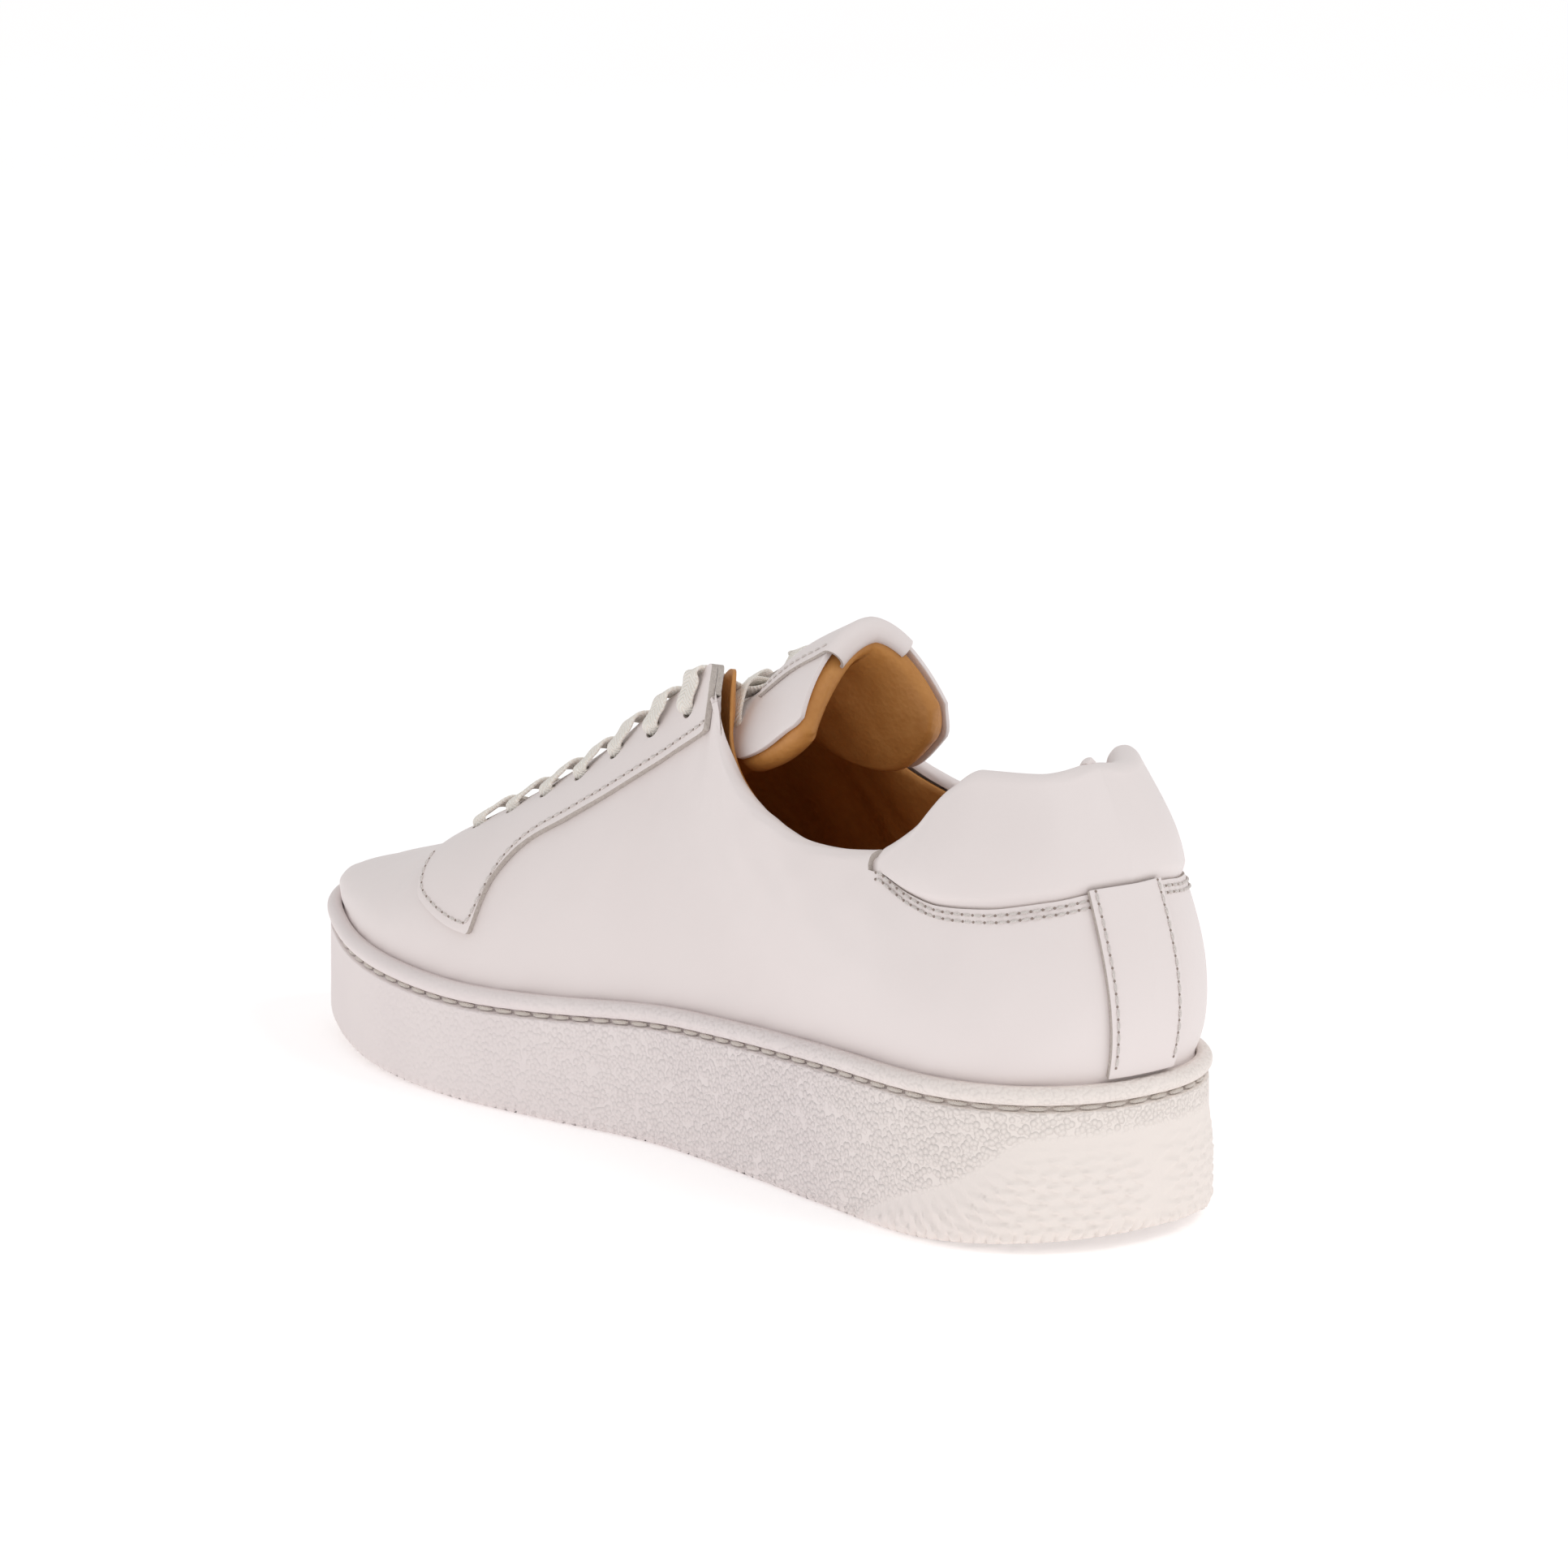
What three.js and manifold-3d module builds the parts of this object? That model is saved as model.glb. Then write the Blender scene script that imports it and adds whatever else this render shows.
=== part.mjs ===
// Court shoe: a right-foot low leather court shoe on a stitched cupsole.
// Millimetres. +X points to the toe, +Y to the big-toe (medial) side and +Z up.
// The origin lies on the flat of the outsole, half way along it.
import * as THREE from "three";
import Module from "manifold-3d";

// ---------------------------------------------------------------- driving dimensions

// outsole plan
const soleLength = 300;
const heelHalfWidth = 41.3;
const waistMedial = 35.5;
const ballMedial = 46.6;
const ballLateral = 55.8;
const waistLateral = 44;
const toeOffset = 10.5; // the toe tip lies this far to the medial side
const heelDepth = 46; // length of the squarish round at the heel
const heelPower = 2.2;

// outsole heights
const rimHeel = 39.5;
const rimWaist = 35.75;
const rimForefoot = 30;
const rimToe = 36.1;
const toeSpring = 5.95;
const heelBevel = 3.5;
const rimWidth = 3.8; // the bead, from the outline to the upper
const grooveDrop = 5.1; // the stitch groove below the rim's top
const grooveDepth = 2.2;
const grooveHalf = 0.9;
const cupDepth = 22; // from the rim's top to the cup's floor
const wallFoot = 5.2; // wall thickness at the cup's floor
const threadRadius = 0.5;

// layers, all measured inwards from the outer face of the leather
const gap = 0.35; // between pieces that touch
const leather = 1.6;
const overlay = 1.6;
const overlayGap = 0.8;
const stiffener = 1.2;
const lining = 1.0;
const collarFoam = 5.5;
const boardThickness = 1.6;
const footbedFoam = 4.5;
const footbedCover = 1.0;
const lastingDepth = 11; // how far the upper reaches down into the cup

// collar, throat and ridge
const collarBack = 111.5; // height of the heel's top edge
const collarCorner = collarBack - 1; // the rear corners, a little lower
const collarLow = 85.5;
const throatTop = 118;
const collarHalfWidth = 33.3;
const throatHalfGap = 12;
const ridgeThroatFront = 60.5;
const collarSeamBack = 84.3; // height of the seam below the padded collar
const collarSeamLow = 80.2;
const backstayHalfWidth = 11;

// lacing
const eyeletPairs = 7;
const eyeletFrontX = 75;
const eyeletPitchX = 13;
const eyeletInset = 8.5; // from the throat's edge, along the leather
const eyeletHole = 5;
const laceWidth = 6.5;
const laceThickness = 1;

// tongue
const tongueHalfWidth = 25;
const tongueSag = 17; // how far its sides wrap back, at the half width
const tongueFoamTop = 5.5;
const tongueLean = -3; // the top leans to the lateral side
const patchHalfWidth = 13;

// mesh density: stations from heel to toe on each side
const stations = 22;

// ---------------------------------------------------------------- small tools

const V = (x, y, z) => new THREE.Vector3(x, y, z);
const mix = (a, b, f) => a + (b - a) * f;
const MEDIAL = 1;
const LATERAL = -1;
const SIDES = [MEDIAL, LATERAL];

// A smooth curve y(x) through [x, y] points, level at its turning points.
function curve(points) {
  const n = points.length;
  const rise = (i) => (points[i + 1][1] - points[i][1]) / (points[i + 1][0] - points[i][0]);
  const slope = points.map((p, i) => {
    if (i === 0) return rise(0);
    if (i === n - 1) return rise(n - 2);
    const a = rise(i - 1);
    const b = rise(i);
    return a * b <= 0 ? 0 : (2 * a * b) / (a + b);
  });
  return (x) => {
    if (x <= points[0][0]) return points[0][1];
    if (x >= points[n - 1][0]) return points[n - 1][1];
    const i = points.findIndex((p, j) => j < n - 1 && x <= points[j + 1][0]);
    const w = points[i + 1][0] - points[i][0];
    const f = (x - points[i][0]) / w;
    const g = 1 - f;
    const start = points[i][1] * (1 + 2 * f) + slope[i] * w * f;
    const end = points[i + 1][1] * (1 + 2 * g) - slope[i + 1] * w * g;
    return start * g * g + end * f * f;
  };
}

// The value in a bracket where f crosses the target.
function solve(f, target, low, high) {
  const rising = f(high) > f(low);
  for (let i = 0; i < 40; i++) {
    const middle = (low + high) / 2;
    if (f(middle) < target === rising) low = middle;
    else high = middle;
  }
  return (low + high) / 2;
}

const range = (n, from, to) => Array.from({ length: n + 1 }, (_, i) => mix(from, to, i / n));

// ---------------------------------------------------------------- outsole outline

const heelCentreX = -soleLength / 2 + heelDepth;
const half = soleLength / 2;

// The heel's round at an angle from straight back.
function heelPoint(angle) {
  const c = Math.abs(Math.cos(angle)) ** (2 / heelPower);
  const s = Math.abs(Math.sin(angle)) ** (2 / heelPower);
  return V(heelCentreX - heelDepth * c, Math.sign(angle) * s * heelHalfWidth, 0);
}

const quarterTurn = Math.PI / 2;
const outline = new THREE.CatmullRomCurve3(
  [
    ...range(6, 0, quarterTurn).map(heelPoint),
    V(-70, mix(waistMedial, heelHalfWidth, 0.6), 0),
    V(-38, mix(waistMedial, heelHalfWidth, 0.12), 0),
    V(-5, waistMedial, 0),
    V(30, mix(waistMedial, ballMedial, 0.58), 0),
    V(65, ballMedial, 0),
    V(98, ballMedial * 0.94, 0),
    V(half - 25, ballMedial * 0.72, 0),
    V(half - 7, ballMedial * 0.4 + toeOffset * 0.3, 0),
    V(half, toeOffset, 0),
    V(half - 4.5, toeOffset - 19.5, 0),
    V(half - 16, -ballLateral * 0.5, 0),
    V(half - 33, -ballLateral * 0.76, 0),
    V(half - 58, -ballLateral * 0.93, 0),
    V(50, -ballLateral, 0),
    V(5, mix(-waistLateral, -ballLateral, 0.54), 0),
    V(-40, -waistLateral, 0),
    V(-72, -mix(waistLateral, heelHalfWidth, 0.5), 0),
    ...range(6, -quarterTurn, 0).map(heelPoint).slice(0, 6),
  ],
  true,
  "centripetal",
);

// Each side's samples from the heel centre to the toe tip, with their running length.
const fine = 900;
const loop = range(fine, 0, 1).map((f) => outline.getPoint(f % 1));
const toeIndex = loop.reduce((best, p, i) => (p.x > loop[best].x ? i : best), 0);
function runOf(points) {
  const run = [0];
  for (let i = 1; i < points.length; i++) {
    run.push(run[i - 1] + points[i].distanceTo(points[i - 1]));
  }
  return { points, run };
}
const sideRun = {
  [MEDIAL]: runOf(loop.slice(0, toeIndex + 1)),
  [LATERAL]: runOf(loop.slice(toeIndex).reverse()),
};

// The outline at a share k of a side's length, moved inwards.
function edge(side, k, inset) {
  const { points, run } = sideRun[side];
  const total = run[run.length - 1];
  const at = (share) => {
    const length = THREE.MathUtils.clamp(share, 0, 1) * total;
    const i = Math.max(1, run.findIndex((r) => r >= length));
    const f = (length - run[i - 1]) / (run[i] - run[i - 1]);
    return points[i - 1].clone().lerp(points[i], f);
  };
  const way = at(k + 0.006).sub(at(k - 0.006));
  if (k <= 0.006) way.set(0, side, 0);
  if (k >= 0.994) way.set(0, -side, 0);
  const inward = V(way.y, -way.x, 0).normalize().multiplyScalar(side);
  return at(k).addScaledVector(inward, inset);
}

const rimTop = curve([
  [-half, rimHeel],
  [-90, rimHeel - 0.5],
  [-20, rimWaist],
  [60, rimForefoot],
  [110, mix(rimForefoot, rimToe, 0.35)],
  [half, rimToe],
]);

// The underside: flat, with the toe's spring and the heel's bevel.
function under(x) {
  const toe = Math.max(0, x - 50) / (half - 50);
  const heel = Math.max(0, -x - (half - 45)) / 45;
  return toeSpring * toe * toe + heelBevel * heel ** 1.5;
}

// Stations shared by every piece, from the heel centre (0) to the toe tip (1).
const kSeam = 0.215; // the collar's seam meets the topline here
const kLiningSplit = 0.79; // quarter lining to vamp lining
const kRidge = 0.8; // where the two sides meet over the toes
const kToe = 0.985; // the last station of the upper
const kStart = backstayHalfWidth / (sideRun[MEDIAL].run.at(-1) + sideRun[LATERAL].run.at(-1)) * 2;
const kMarks = [0, kStart, 0.1, kSeam - 0.012, kSeam, 0.462, 0.48, 0.668, 0.68, 0.745, 0.775, 0.78];
const crowded = (u) => mix(u, (1 - Math.cos(Math.PI * u)) / 2, 0.55); // closer at heel and toe
const kSpaced = range(stations, 0, 1)
  .map(crowded)
  .filter((k) => [...kMarks, kLiningSplit, kRidge, kToe].every((m) => Math.abs(k - m) > 0.01));
const kList = [...kSpaced, ...kMarks, kLiningSplit, kRidge, kToe, 1]
  .sort((a, b) => a - b)
  .filter((k, i, all) => i === 0 || k - all[i - 1] > 1e-6);

// Rows shared by every layer of the upper: in the cup below 0, then up each rib.
const rowList = [-1, 0, 0.2, 0.4, 0.56, 0.7, 0.84, 1];

// ---------------------------------------------------------------- solids from rings

// A closed body from rings that follow the outline, each [inset, height(x)].
// The first and the last ring are closed across from side to side.
function ringBody(rings, ks = kList) {
  const positions = [];
  const index = [];
  const last = ks.length - 1;
  const around = 2 * last;
  const order = [
    ...ks.map((k) => [MEDIAL, k]),
    ...ks.slice(1, -1).reverse().map((k) => [LATERAL, k]),
  ];
  rings.forEach(([inset, height]) => {
    order.forEach(([side, k]) => {
      const p = edge(side, k, inset);
      positions.push(p.x, p.y, height(p.x));
    });
  });
  const at = (ring, i) => ring * around + ((i + around) % around);
  for (let r = 0; r < rings.length - 1; r++) {
    for (let i = 0; i < around; i++) {
      index.push(at(r, i), at(r + 1, i), at(r, i + 1));
      index.push(at(r, i + 1), at(r + 1, i), at(r + 1, i + 1));
    }
  }
  const cap = (ring, flip) => {
    for (let i = 0; i < last; i++) {
      const [a, b, c, d] = [at(ring, i), at(ring, i + 1), at(ring, -i - 1), at(ring, -i)];
      const faces = i === last - 1 ? [[a, b, d]] : [[a, b, c], [a, c, d]];
      faces.forEach(([p, q, s]) => {
        if (p !== q && q !== s && p !== s) index.push(...(flip ? [p, s, q] : [p, q, s]));
      });
    }
  };
  cap(0, false);
  cap(rings.length - 1, true);
  return geometryOf(positions, index);
}

// A tube that closes on itself along the outline.
function ringTube(inset, height, radius, faces) {
  const positions = [];
  const index = [];
  const order = [
    ...kList.map((k) => [MEDIAL, k]),
    ...kList.slice(1, -1).reverse().map((k) => [LATERAL, k]),
  ];
  order.forEach(([side, k]) => {
    for (let f = 0; f < faces; f++) {
      const a = (2 * Math.PI * f) / faces;
      const p = edge(side, k, inset - radius * Math.cos(a));
      positions.push(p.x, p.y, height(p.x) + radius * Math.sin(a));
    }
  });
  const n = order.length;
  for (let i = 0; i < n; i++) {
    for (let f = 0; f < faces; f++) {
      const a = i * faces + f;
      const b = i * faces + ((f + 1) % faces);
      const c = ((i + 1) % n) * faces + f;
      const d = ((i + 1) % n) * faces + ((f + 1) % faces);
      index.push(a, b, c, b, d, c);
    }
  }
  return geometryOf(positions, index);
}

function geometryOf(positions, index) {
  const g = new THREE.BufferGeometry();
  g.setAttribute("position", new THREE.BufferAttribute(new Float32Array(positions), 3));
  g.setIndex(index);
  return g;
}

// ---------------------------------------------------------------- the upper's surface

// The top edge by station: heel, collar, throat, then the ridge over the toes.
// Each row is [k, x, centre y, half gap, height].
const topRows = [
  [0, -half + 20, 0, 0, collarBack],
  [0.045, -half + 23, 0, 13, collarBack - 1.5],
  [0.09, -half + 34, 0, 24, collarCorner],
  [0.13, -half + 42, 0, 28, mix(collarLow, collarCorner, 0.8)],
  [0.175, -half + 52, 0, 31, mix(collarLow, collarCorner, 0.36)],
  [0.22, -half + 64, 0, collarHalfWidth, collarLow + 2],
  [0.28, -half + 84, 0, collarHalfWidth, collarLow],
  [0.34, -46, 0, 31.5, collarLow + 3.5],
  [0.39, -30, 0, 28, mix(collarLow, throatTop, 0.3)],
  [0.425, -21, 0, 24.5, mix(collarLow, throatTop, 0.52)],
  [0.455, -15.5, 0, 21, mix(collarLow, throatTop, 0.82)],
  [0.48, -11, 0, 16.5, throatTop],
  [0.52, 1, 0, throatHalfGap + 1.5, mix(ridgeThroatFront, throatTop, 0.87)],
  [0.56, 14, 0.3, throatHalfGap + 0.5, mix(ridgeThroatFront, throatTop, 0.73)],
  [0.62, 34, 0.8, throatHalfGap, mix(ridgeThroatFront, throatTop, 0.49)],
  [0.68, 54, 1.3, throatHalfGap, mix(ridgeThroatFront, throatTop, 0.29)],
  [0.74, 74, 2, throatHalfGap, mix(ridgeThroatFront, throatTop, 0.105)],
  [0.78, 87, 3, throatHalfGap - 3, ridgeThroatFront],
  [0.8, 93, 3.5, 0, ridgeThroatFront - 2],
  [0.85, half - 44, 5, 0, 52.8],
  [0.9, half - 30, 7, 0, 48.6],
  [0.94, half - 19, 8.5, 0, 45.2],
  [0.97, half - 10.5, 9.8, 0, 42],
  [0.99, half - 6.5, 10.3, 0, 39],
];
const column = (c) => curve(topRows.map((row) => [row[0], row[c]]));
const topX = column(1);
const topCentre = column(2);
const topGap = column(3);
const topZ = column(4);

// Where the rib leans: how far the handles reach, by station.
const footRise = curve([[0, 0.32], [0.2, 0.3], [0.45, 0.45], [0.8, 0.52], [1, 0.6]]);
const footOut = curve([[0, 10], [0.1, 9], [0.2, 5], [0.35, 3], [0.6, 2.5], [0.85, 3], [1, 4]]);
const headOut = curve([[0, 9], [0.1, 8], [0.2, 4], [0.3, 3], [0.42, 3], [0.48, 0]]);
const headSide = curve([[0.4, 0], [0.48, 0.25], [0.56, 0.55], [0.78, 0.62], [0.82, 0.7], [1, 0.75]]);
const headDrop = curve([[0, 0.34], [0.3, 0.3], [0.48, 0.24], [0.6, 0.16], [0.8, 0.08], [1, 0.02]]);

// A rib's four Bezier points from the feather line to the top edge.
const ribs = new Map();
function rib(side, k) {
  const key = side * (k + 1);
  if (ribs.has(key)) return ribs.get(key);
  const foot = edge(side, k, rimWidth + gap);
  foot.z = rimTop(foot.x);
  const head = V(topX(k), topCentre(k) + side * topGap(k), topZ(k));
  const away = foot.clone().sub(edge(side, k, rimWidth + gap + 5)).setZ(0).normalize();
  const height = head.z - foot.z;
  const low = foot.clone().addScaledVector(away, footOut(k));
  low.z += footRise(k) * height;
  const high = head.clone().addScaledVector(away, headOut(k));
  high.y += (foot.y - head.y) * headSide(k);
  high.x += (foot.x - head.x) * headSide(k);
  high.z -= headDrop(k) * height;
  const made = [foot, low, high, head];
  ribs.set(key, made);
  return made;
}

// A point of the leather's outer face. Below t = 0 it drops straight into the cup.
function skin(side, k, t) {
  const [a, b, c, d] = rib(side, k);
  if (t < 0) return V(a.x, a.y, a.z + t * lastingDepth);
  const s = 1 - t;
  return V(0, 0, 0)
    .addScaledVector(a, s * s * s)
    .addScaledVector(b, 3 * s * s * t)
    .addScaledVector(c, 3 * s * t * t)
    .addScaledVector(d, t * t * t);
}

// The outward normal of that face.
function skinNormal(side, k, t) {
  const e = 0.004;
  const k0 = Math.max(0, k - e);
  const k1 = Math.min(kToe, k + e);
  const t0 = Math.min(1 - e, Math.max(t - e, -1));
  const along = skin(side, k1, t).sub(skin(side, k0, t));
  const up = skin(side, k, t0 + e).sub(skin(side, k, t0));
  if (k <= 0) along.set(0, side, 0);
  if (k >= kRidge && t >= 1 - e) up.set(0, -side, 0);
  return up.cross(along).normalize().multiplyScalar(side);
}

// The share t of a rib where it reaches a height.
const atHeight = (side, k, z) => solve((t) => skin(side, k, t).z, z, 0, 1);

const seamHeight = curve([
  [0, collarSeamBack],
  [0.03, collarSeamBack - 0.3],
  [0.06, mix(collarSeamLow, collarSeamBack, 0.6)],
  [0.1, collarSeamLow + 0.5],
  [0.14, collarSeamLow],
  [0.17, collarSeamLow + 1.5],
  [0.2, collarSeamLow + 5],
]);
const seamT = (side, k) => atHeight(side, k, seamHeight(k));
const seamGap = 0.006; // in t, half the gap along the seam

// ---------------------------------------------------------------- layers of the upper

// A closed layer over a patch of the surface, between two heights low and high up each rib.
// Its two depths run along the normal, and each is a number or a function of (side, k, t).
function layer({
  sides = SIDES, ks, rows = rowList, low = -1, high = 1, outer, inner,
  point = skin, normal = skinNormal,
}) {
  const limit = (rule, side, k) => (typeof rule === "function" ? rule(side, k) : rule);
  const points = [];
  const faces = [];
  const lookup = new Map();
  const vertex = (side, k, f) => {
    const t = THREE.MathUtils.clamp(f, limit(low, side, k), limit(high, side, k));
    const p = point(side, k, t);
    const key = p.toArray().map((c) => Math.round(c * 500)).join();
    if (!lookup.has(key)) {
      lookup.set(key, points.length);
      points.push({ p, n: normal(side, k, t), side, k, t });
    }
    return lookup.get(key);
  };
  const quad = (a, b, c, d) => {
    [[a, b, c], [a, c, d]].forEach((f) => {
      if (new Set(f).size === 3) faces.push(f);
    });
  };
  sides.forEach((side) => {
    for (let i = 0; i < ks.length - 1; i++) {
      for (let j = 0; j < rows.length - 1; j++) {
        const a = vertex(side, ks[i], rows[j]);
        const b = vertex(side, ks[i + 1], rows[j]);
        const c = vertex(side, ks[i + 1], rows[j + 1]);
        const d = vertex(side, ks[i], rows[j + 1]);
        if (side === MEDIAL) quad(a, d, c, b);
        else quad(a, b, c, d);
      }
    }
  });
  const end = ks[ks.length - 1];
  if (sides.length === 2 && end >= kToe) {
    for (let j = 0; j < rows.length - 1; j++) {
      const [a, d] = [rows[j], rows[j + 1]].map((f) => vertex(MEDIAL, end, f));
      const [b, c] = [rows[j], rows[j + 1]].map((f) => vertex(LATERAL, end, f));
      quad(a, d, c, b);
    }
  }
  return thicken(points, faces, outer, inner);
}

// Two offset copies of a patch, joined along its open edges.
function thicken(points, faces, outer, inner) {
  const depth = (rule, v) => (typeof rule === "function" ? rule(v.side, v.k, v.t) : rule);
  const positions = [];
  [outer, inner].forEach((rule) => {
    points.forEach((v) => {
      positions.push(...v.p.clone().addScaledVector(v.n, -depth(rule, v)).toArray());
    });
  });
  const n = points.length;
  const index = [];
  const edges = new Set();
  faces.forEach(([a, b, c]) => {
    index.push(a, b, c, a + n, c + n, b + n);
    [[a, b], [b, c], [c, a]].forEach((e) => edges.add(e.join()));
  });
  edges.forEach((e) => {
    const [a, b] = e.split(",").map(Number);
    if (!edges.has([b, a].join())) index.push(a, a + n, b, b, a + n, b + n);
  });
  return geometryOf(positions, index);
}

// The shared stations between two limits.
const within = (from, to) => kList.filter((k) => k > from - 1e-9 && k < to + 1e-9);

// ---------------------------------------------------------------- joins and cuts

const wasm = await Module();
wasm.setup();

function toSolid(geometry) {
  const made = new wasm.Manifold(
    new wasm.Mesh({
      numProp: 3,
      vertProperties: geometry.attributes.position.array,
      triVerts: new Uint32Array(geometry.index.array),
    }),
  );
  return made;
}

function fromSolid(solid) {
  const mesh = solid.getMesh();
  const positions = [];
  for (let i = 0; i < mesh.numVert; i++) {
    positions.push(...mesh.vertProperties.subarray(i * mesh.numProp, i * mesh.numProp + 3));
  }
  return geometryOf(positions, [...mesh.triVerts]);
}

const joined = (list) => fromSolid(list.map(toSolid).reduce((a, b) => a.add(b)));
const cut = (body, tools) =>
  fromSolid(tools.map(toSolid).reduce((a, b) => a.subtract(b), toSolid(body)));

// A bar with a rectangular section along points, each with its own width direction.
function strap(path, width, thickness) {
  const positions = [];
  const index = [];
  path.forEach(({ p, n, w = width }, i) => {
    const before = path[Math.max(0, i - 1)].p;
    const after = path[Math.min(path.length - 1, i + 1)].p;
    const way = after.clone().sub(before).normalize();
    const across = n.clone().cross(way).normalize();
    const up = way.clone().cross(across).normalize();
    [[1, 1], [-1, 1], [-1, -1], [1, -1]].forEach(([a, b]) => {
      const q = p.clone().addScaledVector(across, (a * w) / 2).addScaledVector(up, (b * thickness) / 2);
      positions.push(...q.toArray());
    });
  });
  const last = (path.length - 1) * 4;
  for (let i = 0; i < path.length - 1; i++) {
    for (let f = 0; f < 4; f++) {
      const a = i * 4 + f;
      const b = i * 4 + ((f + 1) % 4);
      index.push(a, b, a + 4, b, b + 4, a + 4);
    }
  }
  index.push(0, 2, 1, 0, 3, 2, last, last + 1, last + 2, last, last + 2, last + 3);
  return geometryOf(positions, index);
}

// ---------------------------------------------------------------- eyelets

const eyelets = [];
for (let i = 0; i < eyeletPairs; i++) {
  const k = solve(topX, eyeletFrontX - i * eyeletPitchX, 0.48, 0.8);
  SIDES.forEach((side) => {
    const head = skin(side, k, 1);
    const t = solve((s) => skin(side, k, s).distanceTo(head), eyeletInset, 0.4, 1);
    eyelets.push({ side, i, k, t, p: skin(side, k, t), n: skinNormal(side, k, t) });
  });
}
const eyeletAt = (side, i) => eyelets.find((e) => e.side === side && e.i === i);
const holeReach = 14;
const holeTools = (side) =>
  eyelets.filter((e) => e.side === side).map((e) => {
    const g = new THREE.CylinderGeometry(eyeletHole / 2, eyeletHole / 2, holeReach, 6);
    g.applyQuaternion(new THREE.Quaternion().setFromUnitVectors(V(0, 1, 0), e.n));
    g.translate(e.p.x, e.p.y, e.p.z);
    g.deleteAttribute("normal");
    g.deleteAttribute("uv");
    return mergedByPlace(g);
  });

// The same geometry with its shared corners as one vertex.
function mergedByPlace(geometry) {
  const array = geometry.attributes.position.array;
  const lookup = new Map();
  const positions = [];
  const map = [];
  for (let i = 0; i < array.length; i += 3) {
    const key = [array[i], array[i + 1], array[i + 2]].map((c) => Math.round(c * 1000)).join();
    if (!lookup.has(key)) {
      lookup.set(key, positions.length / 3);
      positions.push(array[i], array[i + 1], array[i + 2]);
    }
    map.push(lookup.get(key));
  }
  const index = [];
  for (let i = 0; i < geometry.index.count; i += 3) {
    const f = [0, 1, 2].map((j) => map[geometry.index.array[i + j]]);
    if (new Set(f).size === 3) index.push(...f);
  }
  return geometryOf(positions, index);
}

// ---------------------------------------------------------------- tongue surface

// The outer face's centre line, from the seam under the vamp to the free top.
// It keeps its distance from the flaps' underside, so it sinks as their layers grow.
const flapLayers = leather + gap + stiffener + gap + lining;
const tongueDrop = flapLayers - 4.5;
const tongueLine = new THREE.CatmullRomCurve3(
  [
    V(97, 0, 50.2 - tongueDrop),
    V(80, 0, 58.6 - tongueDrop),
    V(62, 0, 68 - tongueDrop),
    V(40, 0, 80.5 - tongueDrop),
    V(20, 0, 92.6 - tongueDrop),
    V(0, 0, 103.3 - tongueDrop),
    V(-14, 0, 112.6 - tongueDrop),
    V(-27, 0, 123.6 - tongueDrop),
    V(-39, 0, 131.5 - tongueDrop),
  ],
  false,
  "centripetal",
);
const tongueWidth = curve([[0, 0.6], [0.2, 0.7], [0.5, 0.67], [0.78, 0.62], [0.9, 0.88], [1, 0.92]]);
const tongueTilt = curve([[0, 0], [0.6, 0.05], [1, 0.62]]); // the sides' way back turns level
const tongueFoam = curve([[0, 1.2], [0.3, 2], [0.6, 3.5], [0.85, tongueFoamTop], [1, tongueFoamTop - 1]]);

// w runs from -1 at the lateral edge to 1 at the medial edge, s from the base to the top.
function tonguePoint(w, s) {
  const p = tongueLine.getPoint(s);
  const way = tongueLine.getTangent(s);
  const out = V(way.z, 0, -way.x).normalize();
  const turn = tongueTilt(s);
  const back = V(mix(out.x, 0.95, turn), 0, mix(out.z, 0.3, turn)).normalize();
  const reach = w * tongueWidth(s);
  const corner = s > 0.9 ? 6 * ((s - 0.9) / 0.1) * Math.max(0, Math.abs(w) - 0.45) : 0;
  p.y += reach * tongueHalfWidth + topCentre(0.78) * (1 - s) ** 3 + tongueLean * s ** 4;
  p.addScaledVector(back, -tongueSag * Math.abs(reach) ** 1.9);
  return p.addScaledVector(way, -corner);
}
function tongueNormal(w, s) {
  const e = 0.01;
  const s0 = Math.min(s, 1 - e);
  const along = tonguePoint(w, s0 + e).sub(tonguePoint(w, s0));
  const across = tonguePoint(w + e, s).sub(tonguePoint(w - e, s));
  return across.cross(along).normalize();
}

// A layer of the tongue between two depths, over a range of w and s.
function tongueLayer({ w0 = -1, w1 = 1, s0 = 0, s1 = 1, columns = 6, rows = 9, outer, inner }) {
  return layer({
    sides: [MEDIAL],
    ks: range(rows, s0, s1),
    rows: range(columns, w0, w1),
    point: (side, s, w) => tonguePoint(w, s),
    normal: (side, s, w) => tongueNormal(w, s),
    outer,
    inner,
  });
}

// ---------------------------------------------------------------- the pieces

const shoe = new THREE.Group();
function add(name, geometry, color, roughness) {
  const shape = geometry.clone();
  shape.computeVertexNormals();
  const material = new THREE.MeshStandardMaterial({ color, roughness, metalness: 0 });
  const mesh = new THREE.Mesh(shape, material);
  mesh.name = name;
  shoe.add(mesh);
}

const white = 0xeee6e4;
const soleWhite = 0xece2de;
const tan = 0xa9682c;
const cream = 0xeae6da;
const foam = 0xd9d2c4;
const board = 0xc9bda5;
const stiff = 0xd8d4cc;

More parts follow.
